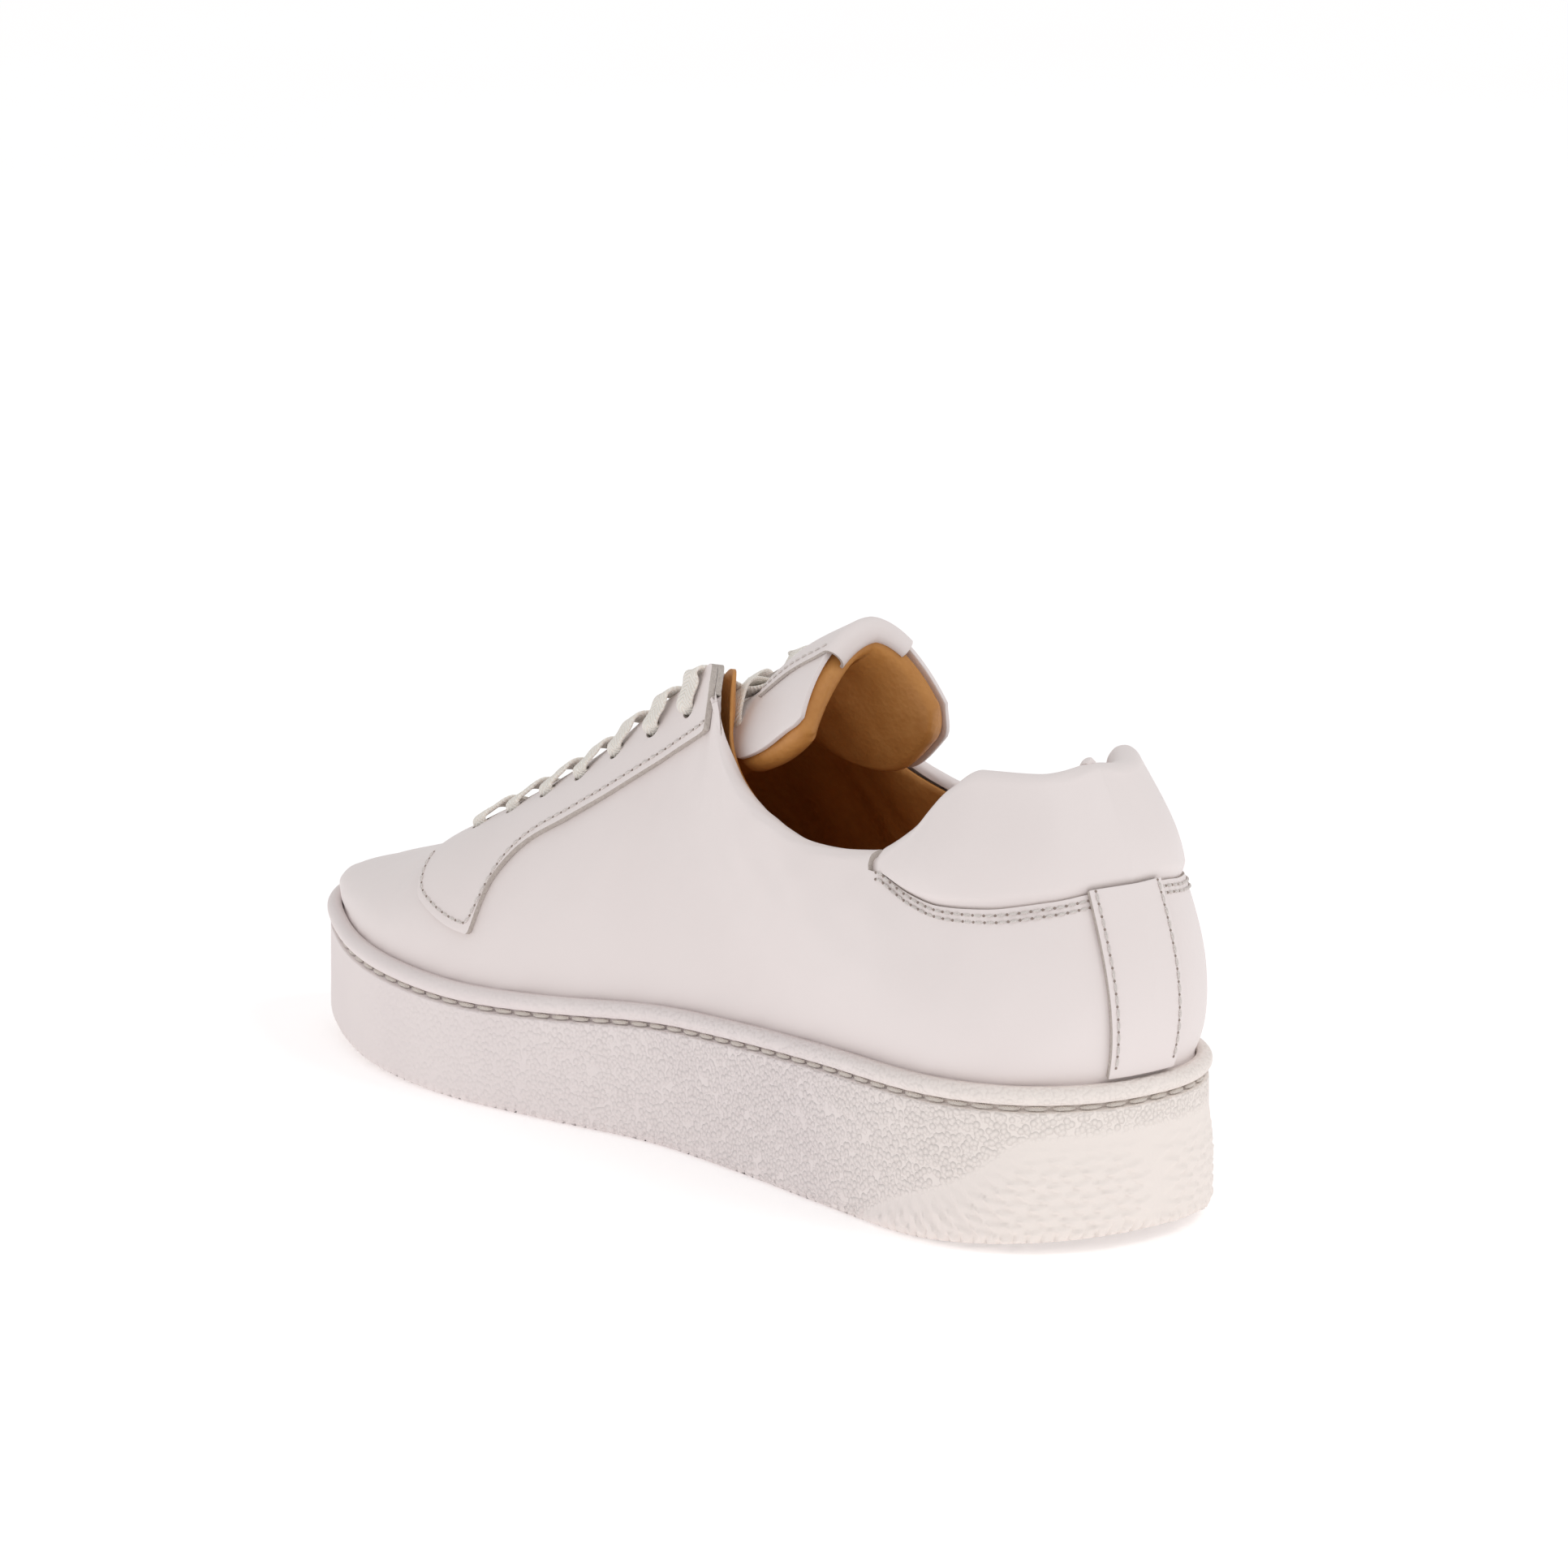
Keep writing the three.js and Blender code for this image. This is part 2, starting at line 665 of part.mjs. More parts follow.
// cupsole: underside, wall, groove, bead, rim and the cup inside
const cupFloor = (x) => rimTop(x) - cupDepth;
add(
  "cupsole",
  ringBody([
    [9, under],
    [1.8, under],
    [0.6, (x) => under(x) + 2.5],
    [0.8, (x) => rimTop(x) - grooveDrop - 2 * grooveHalf],
    [1.2, (x) => rimTop(x) - grooveDrop - grooveHalf],
    [1.2 + grooveDepth, (x) => rimTop(x) - grooveDrop - grooveHalf + 0.2],
    [1.2 + grooveDepth, (x) => rimTop(x) - grooveDrop + grooveHalf - 0.2],
    [0.9, (x) => rimTop(x) - grooveDrop + grooveHalf],
    [0, (x) => rimTop(x) - 2.6],
    [1.1, (x) => rimTop(x) - 0.5],
    [rimWidth, rimTop],
    [rimWidth, (x) => rimTop(x) - lastingDepth - gap],
    [wallFoot, cupFloor],
  ]),
  soleWhite,
  0.6,
);

add(
  "sole_stitching",
  ringTube(1.2 + grooveDepth - threadRadius - gap, (x) => rimTop(x) - grooveDrop, threadRadius, 4),
  soleWhite,
  0.7,
);

// the filling in the cup, then the board that closes the upper, then the footbed
const upperInset = rimWidth + gap + leather + gap;
const heights = {
  filler: (x) => rimTop(x) - lastingDepth - 1,
  board: (x) => rimTop(x) - lastingDepth - 1 + gap + boardThickness,
};
add("midsole_cushion", ringBody([
  [wallFoot + gap, (x) => cupFloor(x) + gap],
  [wallFoot + gap, heights.filler],
]), foam, 0.85);
add("insole_board", ringBody([
  [upperInset + stiffener + 0.5, (x) => heights.filler(x) + gap],
  [upperInset + stiffener + 0.5, heights.board],
]), board, 0.9);
const bedInset = upperInset + stiffener + lining + 2 * gap + 1.2;
const foamTop = (x) => heights.board(x) + gap + footbedFoam;
add("footbed_foam", ringBody([
  [bedInset, (x) => heights.board(x) + gap],
  [bedInset, foamTop],
]), foam, 0.85);
add("footbed_cover", ringBody([
  [bedInset, (x) => foamTop(x) + gap],
  [bedInset, (x) => foamTop(x) + gap + footbedCover],
]), tan, 0.6);

// the main leather: one piece from the toe round both sides to the heel
const holes = [...holeTools(MEDIAL), ...holeTools(LATERAL)];
const upperTop = (side, k) => (k < kSeam ? Math.min(1, seamT(side, k)) - seamGap : 1);
add("upper_leather", cut(layer({
  ks: within(0, kToe),
  high: upperTop,
  outer: 0,
  inner: leather,
}), holes), white, 0.5);

// padded collar: outer panel, foam, and the lining behind it
add("collar_panel", layer({
  ks: within(0, kSeam - 0.012),
  low: (side, k) => Math.min(0.97, seamT(side, k) + seamGap),
  outer: 0,
  inner: leather,
}), white, 0.5);

// How deep the lining lies: behind the counter low down, behind the foam at the collar.
const foamShare = curve([[0, 1], [0.2, 1], [0.27, 0.35], [0.44, 0.2], [0.5, 0]]);
const foamRise = curve([[0.5, 0], [0.8, 1], [1, 0.9]]);
const behindLeather = leather + gap;
const liningDepth = (side, k, t) =>
  behindLeather + Math.max(stiffener, collarFoam * foamShare(k) * foamRise(t)) + gap;
add("collar_foam", layer({
  ks: within(0, 0.27),
  low: 0.7,
  high: 0.985,
  outer: behindLeather,
  inner: (side, k, t) => liningDepth(side, k, t) - gap,
}), foam, 0.9);

// stiffeners between the leather and the lining
add("heel_counter", layer({
  ks: within(0, 0.26),
  high: 0.56,
  outer: behindLeather,
  inner: behindLeather + stiffener,
}), stiff, 0.8);
const toePuffFrom = 0.86;
add("toe_puff", layer({
  ks: within(toePuffFrom, kToe),
  low: 0,
  outer: behindLeather,
  inner: behindLeather + stiffener * 0.7,
}), stiff, 0.8);

// linings: heel and quarters in tan leather, the toe end in pale cloth
const liningInner = (side, k, t) => liningDepth(side, k, t) + lining;
const liningLow = -0.85;
const liningHigh = 0.985;
const quarterLining = (side) => cut(layer({
  sides: [side],
  ks: within(0.1, 0.78),
  low: liningLow,
  high: liningHigh,
  outer: liningDepth,
  inner: liningInner,
}), holeTools(side));
add("lining_medial", quarterLining(MEDIAL), tan, 0.55);
add("lining_lateral", quarterLining(LATERAL), tan, 0.55);
add("lining_heel", layer({
  ks: within(0, 0.09),
  low: liningLow,
  high: liningHigh,
  outer: liningDepth,
  inner: liningInner,
}), tan, 0.55);
add("lining_vamp", layer({
  ks: within(kRidge, 0.96),
  low: liningLow,
  outer: liningDepth,
  inner: liningInner,
}), cream, 0.9);

// overlays: eyestays and backstay, with raw edges
const eyestayEdge = curve([
  [0.46, 103.5],
  [0.48, 101],
  [0.5, 97.5],
  [0.53, 91],
  [0.57, 82],
  [0.61, 74],
  [0.65, 65.5],
  [0.668, 57],
  [0.68, 42.5],
  [0.745, 47],
  [0.76, 51],
  [0.775, 56],
]);
// Its flared front end stands a little further off, where the leather below turns sharply.
const eyestaySeat = curve([[0.7, -overlayGap], [0.745, -overlayGap - 0.7], [0.8, -overlayGap - 0.7]]);
SIDES.forEach((side) => {
  const name = side === MEDIAL ? "eyestay_medial" : "eyestay_lateral";
  add(name, cut(layer({
    sides: [side],
    ks: within(0.462, 0.775),
    low: (s, k) => Math.min(0.96, atHeight(s, k, eyestayEdge(k))),
    outer: (s, k) => eyestaySeat(k) - overlay,
    inner: (s, k) => eyestaySeat(k),
  }), holeTools(side)), white, 0.5);
});

add("backstay", layer({
  ks: within(0, kStart),
  low: 0.02,
  high: (side, k) => seamT(side, k) - 0.002,
  outer: -overlayGap - overlay,
  inner: -overlayGap,
}), white, 0.5);

// tongue: leather shell, foam, tan lining and the patch over its top
const shellInner = leather;
const foamOuter = shellInner + gap;
const foamInner = (side, s) => foamOuter + tongueFoam(s);
add("tongue_shell", tongueLayer({ outer: 0, inner: shellInner }), white, 0.5);
add("tongue_foam", tongueLayer({ w0: -0.94, w1: 0.94, s0: 0.12, s1: 0.985, outer: foamOuter, inner: foamInner }), foam, 0.9);
add("tongue_lining", tongueLayer({
  s0: 0.02,
  outer: (side, s) => foamInner(side, s) + gap,
  inner: (side, s) => foamInner(side, s) + gap + lining,
}), tan, 0.55);
const patchShare = patchHalfWidth / tongueHalfWidth;
add("tongue_patch", tongueLayer({
  w0: -patchShare,
  w1: patchShare,
  s0: 0.79,
  s1: 1,
  columns: 4,
  rows: 5,
  outer: -gap - 1,
  inner: -gap,
}), white, 0.5);

// ---------------------------------------------------------------- lace

const onTop = overlayGap + overlay + gap + laceThickness / 2;
const laceGap = gap + 0.3;
const beneath = (e) => -(liningDepth(e.side, e.k, e.t) + lining + laceGap + laceThickness / 2);
const lifted = (e, offset) => ({ p: e.p.clone().addScaledVector(e.n, offset), n: e.n });
const atEdge = (side, k, offset) => {
  const n = skinNormal(side, k, 0.97);
  return { p: skin(side, k, 1).addScaledVector(n, offset), n };
};
// The tongue's centre line share nearest to an x.
const tongueShare = (x) => solve((s) => tonguePoint(0, s).x, x, 0, 1);
const overTongue = (x, y, height) => {
  const s = tongueShare(x);
  const w = y / (tongueHalfWidth * tongueWidth(s));
  const n = tongueNormal(w, s);
  return { p: tonguePoint(w, s).addScaledVector(n, height + laceThickness / 2), n };
};
const laceParts = [];
const laceStart = 1.2; // the lace stands up a little as it leaves its hole
const postWidth = 3.2;
eyelets.forEach((e) => {
  const top = lifted(e, onTop + laceStart);
  const bottom = lifted(e, beneath(e) - laceThickness / 2);
  const lengthwise = V(1, 0, -0.6).normalize();
  laceParts.push(strap([{ p: bottom.p, n: lengthwise }, { p: top.p, n: lengthwise }], postWidth, 1.6));
});
for (let i = 0; i < eyeletPairs - 1; i++) {
  SIDES.forEach((side) => {
    const start = eyeletAt(side, i);
    const finish = eyeletAt(-side, i + 1);
    const x = (f) => mix(start.p.x, finish.p.x, f);
    const height = side === MEDIAL ? gap + 0.5 : 2 * gap + laceThickness + 0.7;
    laceParts.push(strap([
      { ...lifted(start, onTop + laceStart), w: laceWidth * 0.6 },
      { ...atEdge(side, mix(start.k, finish.k, 0.06), onTop + 4), w: laceWidth * 0.75 },
      overTongue(x(0.5), 0, height),
      overTongue(x(0.58), -side * 5, height),
      overTongue(x(0.7), -side * 10, gap + 0.7),
      lifted(finish, beneath(finish)),
    ], laceWidth, laceThickness));
  });
}
const first = SIDES.map((side) => eyeletAt(side, 0));
laceParts.push(strap([
  lifted(first[0], beneath(first[0])),
  overTongue(first[0].p.x + 1, 8, gap + 0.5),
  overTongue(first[0].p.x + 1, 0, gap + 0.5),
  overTongue(first[0].p.x + 1, -8, gap + 0.5),
  lifted(first[1], beneath(first[1])),
], laceWidth, laceThickness));
add("lace", joined(laceParts), cream, 0.8);

export default shoe;
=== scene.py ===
# %% [markdown]
# # A court shoe, dressed for the camera
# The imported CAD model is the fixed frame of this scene. It already holds the true sizes and the joint of
# the tongue.
# Every piece made below is the finished-looking stand-in of one or more of its nodes, in the same metres
# and at the same place.

# %% Load the frame and keep its box
import math

import bpy
import numpy as np
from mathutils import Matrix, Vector


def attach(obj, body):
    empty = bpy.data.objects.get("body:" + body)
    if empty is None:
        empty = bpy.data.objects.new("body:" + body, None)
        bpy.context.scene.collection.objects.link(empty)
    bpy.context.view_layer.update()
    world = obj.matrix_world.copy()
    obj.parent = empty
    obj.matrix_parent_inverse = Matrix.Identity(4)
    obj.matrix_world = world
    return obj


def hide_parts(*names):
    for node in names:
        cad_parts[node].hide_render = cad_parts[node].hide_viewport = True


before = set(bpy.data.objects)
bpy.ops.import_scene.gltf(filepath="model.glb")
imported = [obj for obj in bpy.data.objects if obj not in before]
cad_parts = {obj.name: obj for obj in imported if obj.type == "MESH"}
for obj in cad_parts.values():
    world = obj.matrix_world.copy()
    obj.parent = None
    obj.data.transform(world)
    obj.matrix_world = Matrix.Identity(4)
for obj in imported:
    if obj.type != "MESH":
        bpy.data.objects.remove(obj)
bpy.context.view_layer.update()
bpy.ops.object.select_all(action="DESELECT")

# %% [markdown]
# ## The camera
# The shoe is seen from its inner side and a little from behind, from low down and far away, so a long lens
# is used.
# The camera looks along a yaw and a pitch, which a track quaternion turns into its rotation.

# %% Camera
YAW = math.radians(-39.86)
PITCH = math.radians(-12.11)
look = Vector((math.cos(YAW) * math.cos(PITCH), math.sin(YAW) * math.cos(PITCH), math.sin(PITCH)))
camera = bpy.data.objects.new("studio_camera", bpy.data.cameras.new("studio_camera"))
bpy.context.collection.objects.link(camera)
camera.location = (-1.287, 1.061, 0.4422)
camera.rotation_mode = "QUATERNION"
camera.rotation_quaternion = look.to_track_quat("-Z", "Y")
camera.data.lens = 159.2
camera.data.sensor_width = 36
camera.data.clip_end = 50
bpy.context.scene.camera = camera
print("camera looks along", tuple(round(c, 3) for c in look))

# %% [markdown]
# ## Shader maths in plain Python
# A material is a small graph of nodes. The class below wraps one output of a node, and its operators add
# Math nodes, so a pattern reads as a formula.
# Everything else, such as a noise or a ramp, comes from one method that takes the node's type, its settings
# and its inputs.

# %% A value in a node tree, and a finish that owns the tree
class Value:
    def __init__(self, finish, socket):
        self.finish, self.socket = finish, socket

    def maths(self, operation, first, second=0.0):
        return self.finish.node("ShaderNodeMath", {"operation": operation}, {0: first, 1: second})

    def __add__(self, other): return self.maths("ADD", self, other)
    def __radd__(self, other): return self.maths("ADD", other, self)
    def __sub__(self, other): return self.maths("SUBTRACT", self, other)
    def __rsub__(self, other): return self.maths("SUBTRACT", other, self)
    def __mul__(self, other): return self.maths("MULTIPLY", self, other)
    def __rmul__(self, other): return self.maths("MULTIPLY", other, self)
    def sine(self): return self.maths("SINE", self)
    def absolute(self): return self.maths("ABSOLUTE", self)
    def fraction(self): return self.maths("FRACT", self)
    def at_least(self, floor): return self.maths("MAXIMUM", self, floor)
    def at_most(self, ceiling): return self.maths("MINIMUM", self, ceiling)


class Finish:
    def __init__(self, name, roughness=0.5, specular=0.5, sheen=0.0):
        self.material = bpy.data.materials.new(name)
        self.material.use_nodes = True
        self.tree = self.material.node_tree
        self.shader = self.tree.nodes["Principled BSDF"]
        self.shader.inputs["Roughness"].default_value = roughness
        self.shader.inputs["Specular IOR Level"].default_value = specular
        self.shader.inputs["Sheen Weight"].default_value = sheen

    def node(self, kind, settings=None, inputs=None, output=0):
        made = self.tree.nodes.new(kind)
        for key, value in (settings or {}).items():
            setattr(made, key, value)
        for key, value in (inputs or {}).items():
            self.join(made.inputs[key], value)
        return Value(self, made.outputs[output])

    def join(self, socket, value):
        if isinstance(value, Value):
            self.tree.links.new(value.socket, socket)
        else:
            socket.default_value = value

    def place(self):
        return self.node("ShaderNodeTexCoord", output="Object")

    def uv(self, axis):
        flat = self.node("ShaderNodeTexCoord", output="UV")
        return self.node("ShaderNodeSeparateXYZ", None, {0: flat}, axis)

    def attribute(self, name):
        return self.node("ShaderNodeAttribute", {"attribute_name": name}, output="Fac")

    def noise(self, size, detail=3.0, rough=0.5):
        inputs = {"Vector": self.place(), "Scale": 1 / size, "Detail": detail, "Roughness": rough}
        return self.node("ShaderNodeTexNoise", None, inputs, "Fac")

    def cells(self, size):
        inputs = {"Vector": self.place(), "Scale": 1 / size}
        return self.node("ShaderNodeTexVoronoi", {"feature": "F1"}, inputs, "Distance")

    def mix(self, share, first, second):
        return self.node("ShaderNodeMix", {"data_type": "RGBA"}, {0: share, 6: first, 7: second}, 2)

    def bump(self, height, distance, strength=1.0):
        inputs = {"Height": height, "Distance": distance, "Strength": strength}
        normal = self.node("ShaderNodeBump", None, inputs)
        self.join(self.shader.inputs["Normal"], normal)

    def colour(self, value):
        self.join(self.shader.inputs["Base Color"], value)

    def roughness(self, value):
        self.join(self.shader.inputs["Roughness"], value)


def paint(red, green, blue, alpha=1.0):
    """A colour given as it is seen on a screen, 0 to 255, as the light values a shader works with."""
    linear = [(c / 255 / 12.92) if c < 10 else ((c / 255 + 0.055) / 1.055) ** 2.4 for c in (red, green, blue)]
    return (*linear, alpha)

# %% [markdown]
# ## White leather
# Smooth full-grain leather has a very fine pebble, a satin gloss that wanders a little, and soft creases
# where it bends.
# Two noises and one cell pattern make the grain. They only move the light, so the white stays clean.

# %% White leather
white_leather = Finish("white_leather", specular=0.42)
tone = white_leather.noise(0.045, 2)
white_leather.colour(white_leather.mix(tone, paint(234, 224, 222), paint(241, 232, 230)))
white_leather.roughness(0.43 + 0.14 * white_leather.noise(0.006, 3))
grain = white_leather.cells(0.0011) * 0.35 + white_leather.noise(0.0007, 2) * 0.4
creases = white_leather.noise(0.011, 2) * 1.6
white_leather.bump(grain * 0.12 + creases * 0.6, 0.0005, 0.55)
print(white_leather.material.name, len(white_leather.tree.nodes), "nodes")

# %% [markdown]
# ## Suede edges, needle holes in painted shade, and foam
# Where the leather is cut through, its grey-beige fibres show, nubby and matt. A needle hole is a small dot
# whose dark colour is painted shade.

# %% Cut edges, holes and hidden stuffing
raw_edge = Finish("raw_suede_edge", roughness=0.95, specular=0.1)
fibres = raw_edge.noise(0.0008, 4, rough=0.7)
raw_edge.colour(raw_edge.mix(fibres, paint(172, 161, 154), paint(226, 218, 211)))
raw_edge.bump(fibres, 0.0006, 0.9)

# The needle holes' dark colour is painted shade: the dots only mark where the holes are.
painted_needle_hole_shade = Finish("painted_needle_hole_shade", roughness=0.9, specular=0.1)
painted_needle_hole_shade.colour(painted_needle_hole_shade.mix(painted_needle_hole_shade.noise(0.0006), paint(140, 126, 118), paint(166, 152, 144)))

foam = Finish("foam", roughness=0.95, specular=0.1)
pores = foam.cells(0.0009)
foam.colour(foam.mix(pores, paint(226, 216, 198), paint(206, 194, 172)))
foam.bump(pores, 0.0004, 0.7)

fibreboard = Finish("fibreboard", roughness=0.9, specular=0.2)
chips = fibreboard.noise(0.0022, 5, rough=0.7)
fibreboard.colour(fibreboard.mix(chips, paint(180, 160, 128), paint(206, 190, 160)))
fibreboard.bump(chips, 0.0002, 0.6)

stiffener = Finish("stiffener", specular=0.3)
stiffener.colour(stiffener.mix(stiffener.noise(0.004, 2), paint(222, 216, 204), paint(232, 228, 218)))
stiffener.roughness(0.6 + 0.15 * stiffener.noise(0.002))
print("edges, holes and stuffing are ready")

# %% [markdown]
# ## Tan leather
# The lining is soft golden-tan leather. Its colour wanders at random, darker in broad patches and lighter in
# small spots.

# %% Tan leather
tan_leather = Finish("tan_leather", specular=0.4)
patches = tan_leather.noise(0.012, 3)
lighter_spots = tan_leather.noise(0.003, 4, rough=0.6)
deep = tan_leather.mix(patches, paint(176, 112, 50), paint(202, 140, 72))
tan_leather.colour(tan_leather.mix(lighter_spots * 0.7, deep, paint(214, 156, 90)))
tan_leather.roughness(0.42 + 0.2 * lighter_spots)
tan_leather.bump(tan_leather.cells(0.0013) * 0.25 + tan_leather.noise(0.005, 3) * 0.9, 0.0006, 0.6)
print(tan_leather.material.name, len(tan_leather.tree.nodes), "nodes")

# %% [markdown]
# ## Sole rubber
# The moulded side wall is pebbled at the rear, finer towards the toe, and smooth where the heel's scales
# begin.
# Each point of the sole's mesh says how deep its pebbles are, through an attribute that the material reads.

# %% Sole rubber
sole_rubber = Finish("sole_rubber", specular=0.3)
depth = sole_rubber.attribute("pebble")
pebbles = sole_rubber.cells(0.0014)
warm = sole_rubber.attribute("warm")
cool_white = sole_rubber.mix(sole_rubber.noise(0.03, 2), paint(232, 222, 221), paint(239, 230, 228))
sole_rubber.colour(sole_rubber.mix(warm, cool_white, paint(244, 235, 229)))
sole_rubber.roughness(0.56 + 0.16 * sole_rubber.noise(0.002, 2))
dome = (1 - pebbles * pebbles * 2.2).at_least(0.0)
sole_rubber.bump(dome * depth + 0.05 * sole_rubber.noise(0.0006, 2), 0.0005, 1.0)

tread_rubber = Finish("tread_rubber", roughness=0.75, specular=0.3)
spot = tread_rubber.place()
along = tread_rubber.node("ShaderNodeSeparateXYZ", None, {0: spot}, "X")
aside = tread_rubber.node("ShaderNodeSeparateXYZ", None, {0: spot}, "Y")
zigzag = ((along * 160 + ((aside * 70).fraction() - 0.5).absolute() * 1.6).fraction() - 0.5).absolute()
tread_rubber.colour(tread_rubber.mix(tread_rubber.noise(0.01, 2), paint(226, 217, 213), paint(236, 227, 222)))
tread_rubber.bump((zigzag * 4).at_most(1.0), 0.0012, 1.0)
print(sole_rubber.material.name, len(sole_rubber.tree.nodes), "nodes")

# %% [markdown]
# ## Threads and the woven lace
# A thread is two twisted plies, so a slanted groove runs along it, painted darker in its colour as shade. The flat
# lace is a herringbone: its stripes lean one way on one half and the other way on the other, with painted shade
# between the ribs.
# Both patterns follow each piece's own UV map, laid in millimetres.

# %% Threads and lace
def thread(name, first, second):
    made = Finish(name, roughness=0.72, specular=0.25, sheen=0.15)
    twist_relief_and_shade = ((made.uv("X") * 2.2 + made.uv("Y") * 1.4) * 6.283).sine() * 0.5 + 0.5
    # The colour follows the twist: the groove between the plies is painted darker as shade, the same pattern as the
    # bump.
    made.colour(made.mix(twist_relief_and_shade, paint(*first), paint(*second)))
    made.bump(twist_relief_and_shade, 0.00015, 0.8)
    return made


white_thread = thread("white_thread", (222, 212, 206), (248, 242, 238))
sole_thread = thread("sole_thread", (206, 196, 186), (240, 232, 224))

lace_cotton = Finish("lace_cotton", roughness=0.85, specular=0.15, sheen=0.25)
lengthwise = lace_cotton.uv("X")
across = lace_cotton.uv("Y")
lean = (across * 0.5).absolute()
rib = ((lengthwise * 0.95 + lean * 1.15) * 6.283).sine() * 0.5 + 0.5
ply = ((across * 1.7) * 6.283).sine() * 0.5 + 0.5
weave_relief_and_shade = rib * 0.65 + ply * 0.35
# The lace's colour follows its weave: the hollows between the ribs are painted darker as shade, the same pattern as the
# bump.
lace_cotton.colour(lace_cotton.mix(weave_relief_and_shade, paint(248, 238, 226), paint(255, 252, 246)))
lace_cotton.bump(weave_relief_and_shade, 0.00035, 0.9)

lining_cloth = Finish("lining_cloth", roughness=0.9, specular=0.15, sheen=0.2)
warp_relief_and_shade = (lining_cloth.uv("X") * 4.2).sine() * (lining_cloth.uv("Y") * 4.2).sine()
# The cloth's colour follows the weave of its bump: the low parts are painted darker as shade.
lining_cloth.colour(lining_cloth.mix(warp_relief_and_shade * 0.5 + 0.5, paint(206, 198, 182), paint(236, 230, 216)))
lining_cloth.bump(warp_relief_and_shade, 0.0002, 0.8)
print("threads, lace and cloth are ready")

# %% [markdown]
# ## Smooth curves
# A shoe has almost no straight line, so its sizes are curves of a few given points. Two kinds are enough.
# One is a height over a length that never overshoots its points. The other is a path through points in space.

# %% Two kinds of curve
def height_curve(points):
    p = np.array(points, float)
    x, y = p[:, 0], p[:, 1]
    rise = np.diff(y) / np.diff(x)
    a, b = rise[:-1], rise[1:]
    middle = np.where(a * b <= 0, 0, 2 * a * b / np.where(a + b == 0, 1, a + b))
    slope = np.concatenate([rise[:1], middle, rise[-1:]])

    def at(q):
        q = np.clip(q, x[0], x[-1])
        i = np.clip(np.searchsorted(x, q) - 1, 0, len(x) - 2)
        w = x[i + 1] - x[i]
        f = (q - x[i]) / w
        g = 1 - f
        start = y[i] * (1 + 2 * f) + slope[i] * w * f
        end = y[i + 1] * (1 + 2 * g) - slope[i + 1] * w * g
        return start * g * g + end * f * f

    return at


def path_through(points, steps, closed=False):
    """Points along a smooth path through the given ones, with the same spacing rule as the CAD outline."""
    p = np.array(points, float)
    ring = np.vstack([p[-1:], p, p[:2]]) if closed else np.vstack([2 * p[0] - p[1], p, 2 * p[-1] - p[-2]])
    spans = len(p) if closed else len(p) - 1
    t = np.linspace(0, spans, steps + 1)
    i = np.minimum(t.astype(int), spans - 1)
    f = (t - i)[:, None]
    a, b, c, d = (ring[i + j] for j in range(4))
    d0, d1, d2 = (np.sqrt(np.linalg.norm(v - u, axis=1))[:, None] for u, v in ((a, b), (b, c), (c, d)))
    into = ((b - a) / d0 - (c - a) / (d0 + d1) + (c - b) / d1) * d1
    out = ((c - b) / d1 - (d - b) / (d1 + d2) + (d - c) / d2) * d1
    return b + into * f + (-3 * b + 3 * c - 2 * into - out) * f**2 + (2 * b - 2 * c + into + out) * f**3


def mixed(a, b, share):
    return a + (b - a) * share


def unit(v):
    return v / np.maximum(np.linalg.norm(v, axis=-1, keepdims=True), 1e-9)

# %% [markdown]
# ## The outline of the sole
# Sizes here are millimetres, as on the drawing of the shoe, and become metres when a mesh is made.
# Each side of the outline runs from the heel (share 0) to the tip of the toe (share 1), so a place on the
# shoe is a side and a share.

# %% Outline
MEDIAL, LATERAL = 1, -1
HALF = 150
HEEL_WIDTH, WAIST_IN, BALL_IN, BALL_OUT, WAIST_OUT = 41.3, 35.5, 46.6, 55.8, 44
angles = np.linspace(0, math.pi / 2, 7)
heel = [(-HALF + 46 - 46 * math.cos(a) ** (2 / 2.2), math.sin(a) ** (2 / 2.2) * HEEL_WIDTH) for a in angles]
inner_side = [
    (-70, mixed(WAIST_IN, HEEL_WIDTH, 0.6)), (-38, mixed(WAIST_IN, HEEL_WIDTH, 0.12)), (-5, WAIST_IN),
    (30, mixed(WAIST_IN, BALL_IN, 0.58)), (65, BALL_IN), (98, BALL_IN * 0.94), (125, BALL_IN * 0.72),
    (143, BALL_IN * 0.4 + 3.15), (150, 10.5),
]
outer_side = [
    (145.5, -9), (134, -BALL_OUT * 0.5), (117, -BALL_OUT * 0.76), (92, -BALL_OUT * 0.93), (50, -BALL_OUT),
    (5, mixed(-WAIST_OUT, -BALL_OUT, 0.54)), (-40, -WAIST_OUT), (-72, -mixed(WAIST_OUT, HEEL_WIDTH, 0.5)),
]
loop = path_through(heel + inner_side + outer_side + [(x, -y) for x, y in heel[:0:-1]], 900, closed=True)
tip = int(loop[:, 0].argmax())
half_loops = {MEDIAL: loop[: tip + 1], LATERAL: loop[tip:][::-1]}
runs = {s: np.concatenate([[0], np.cumsum(np.linalg.norm(np.diff(p, axis=0), axis=1))]) for s, p in half_loops.items()}


def edge(side, share, inset):
    """Points of the outline, moved inwards."""
    share = np.asarray(share, float)

    def at(k):
        length = np.clip(k, 0, 1) * runs[side][-1]
        return np.stack([np.interp(length, runs[side], half_loops[side][:, c]) for c in (0, 1)], -1)

    way = at(share + 0.006) - at(share - 0.006)
    way = np.where((share <= 0.002)[..., None], [0, side], way)
    way = np.where((share >= 0.998)[..., None], [0, -side], way)
    inward = unit(np.stack([way[..., 1], -way[..., 0]], -1)) * side
    return at(share) + inward * np.broadcast_to(inset, share.shape)[..., None]


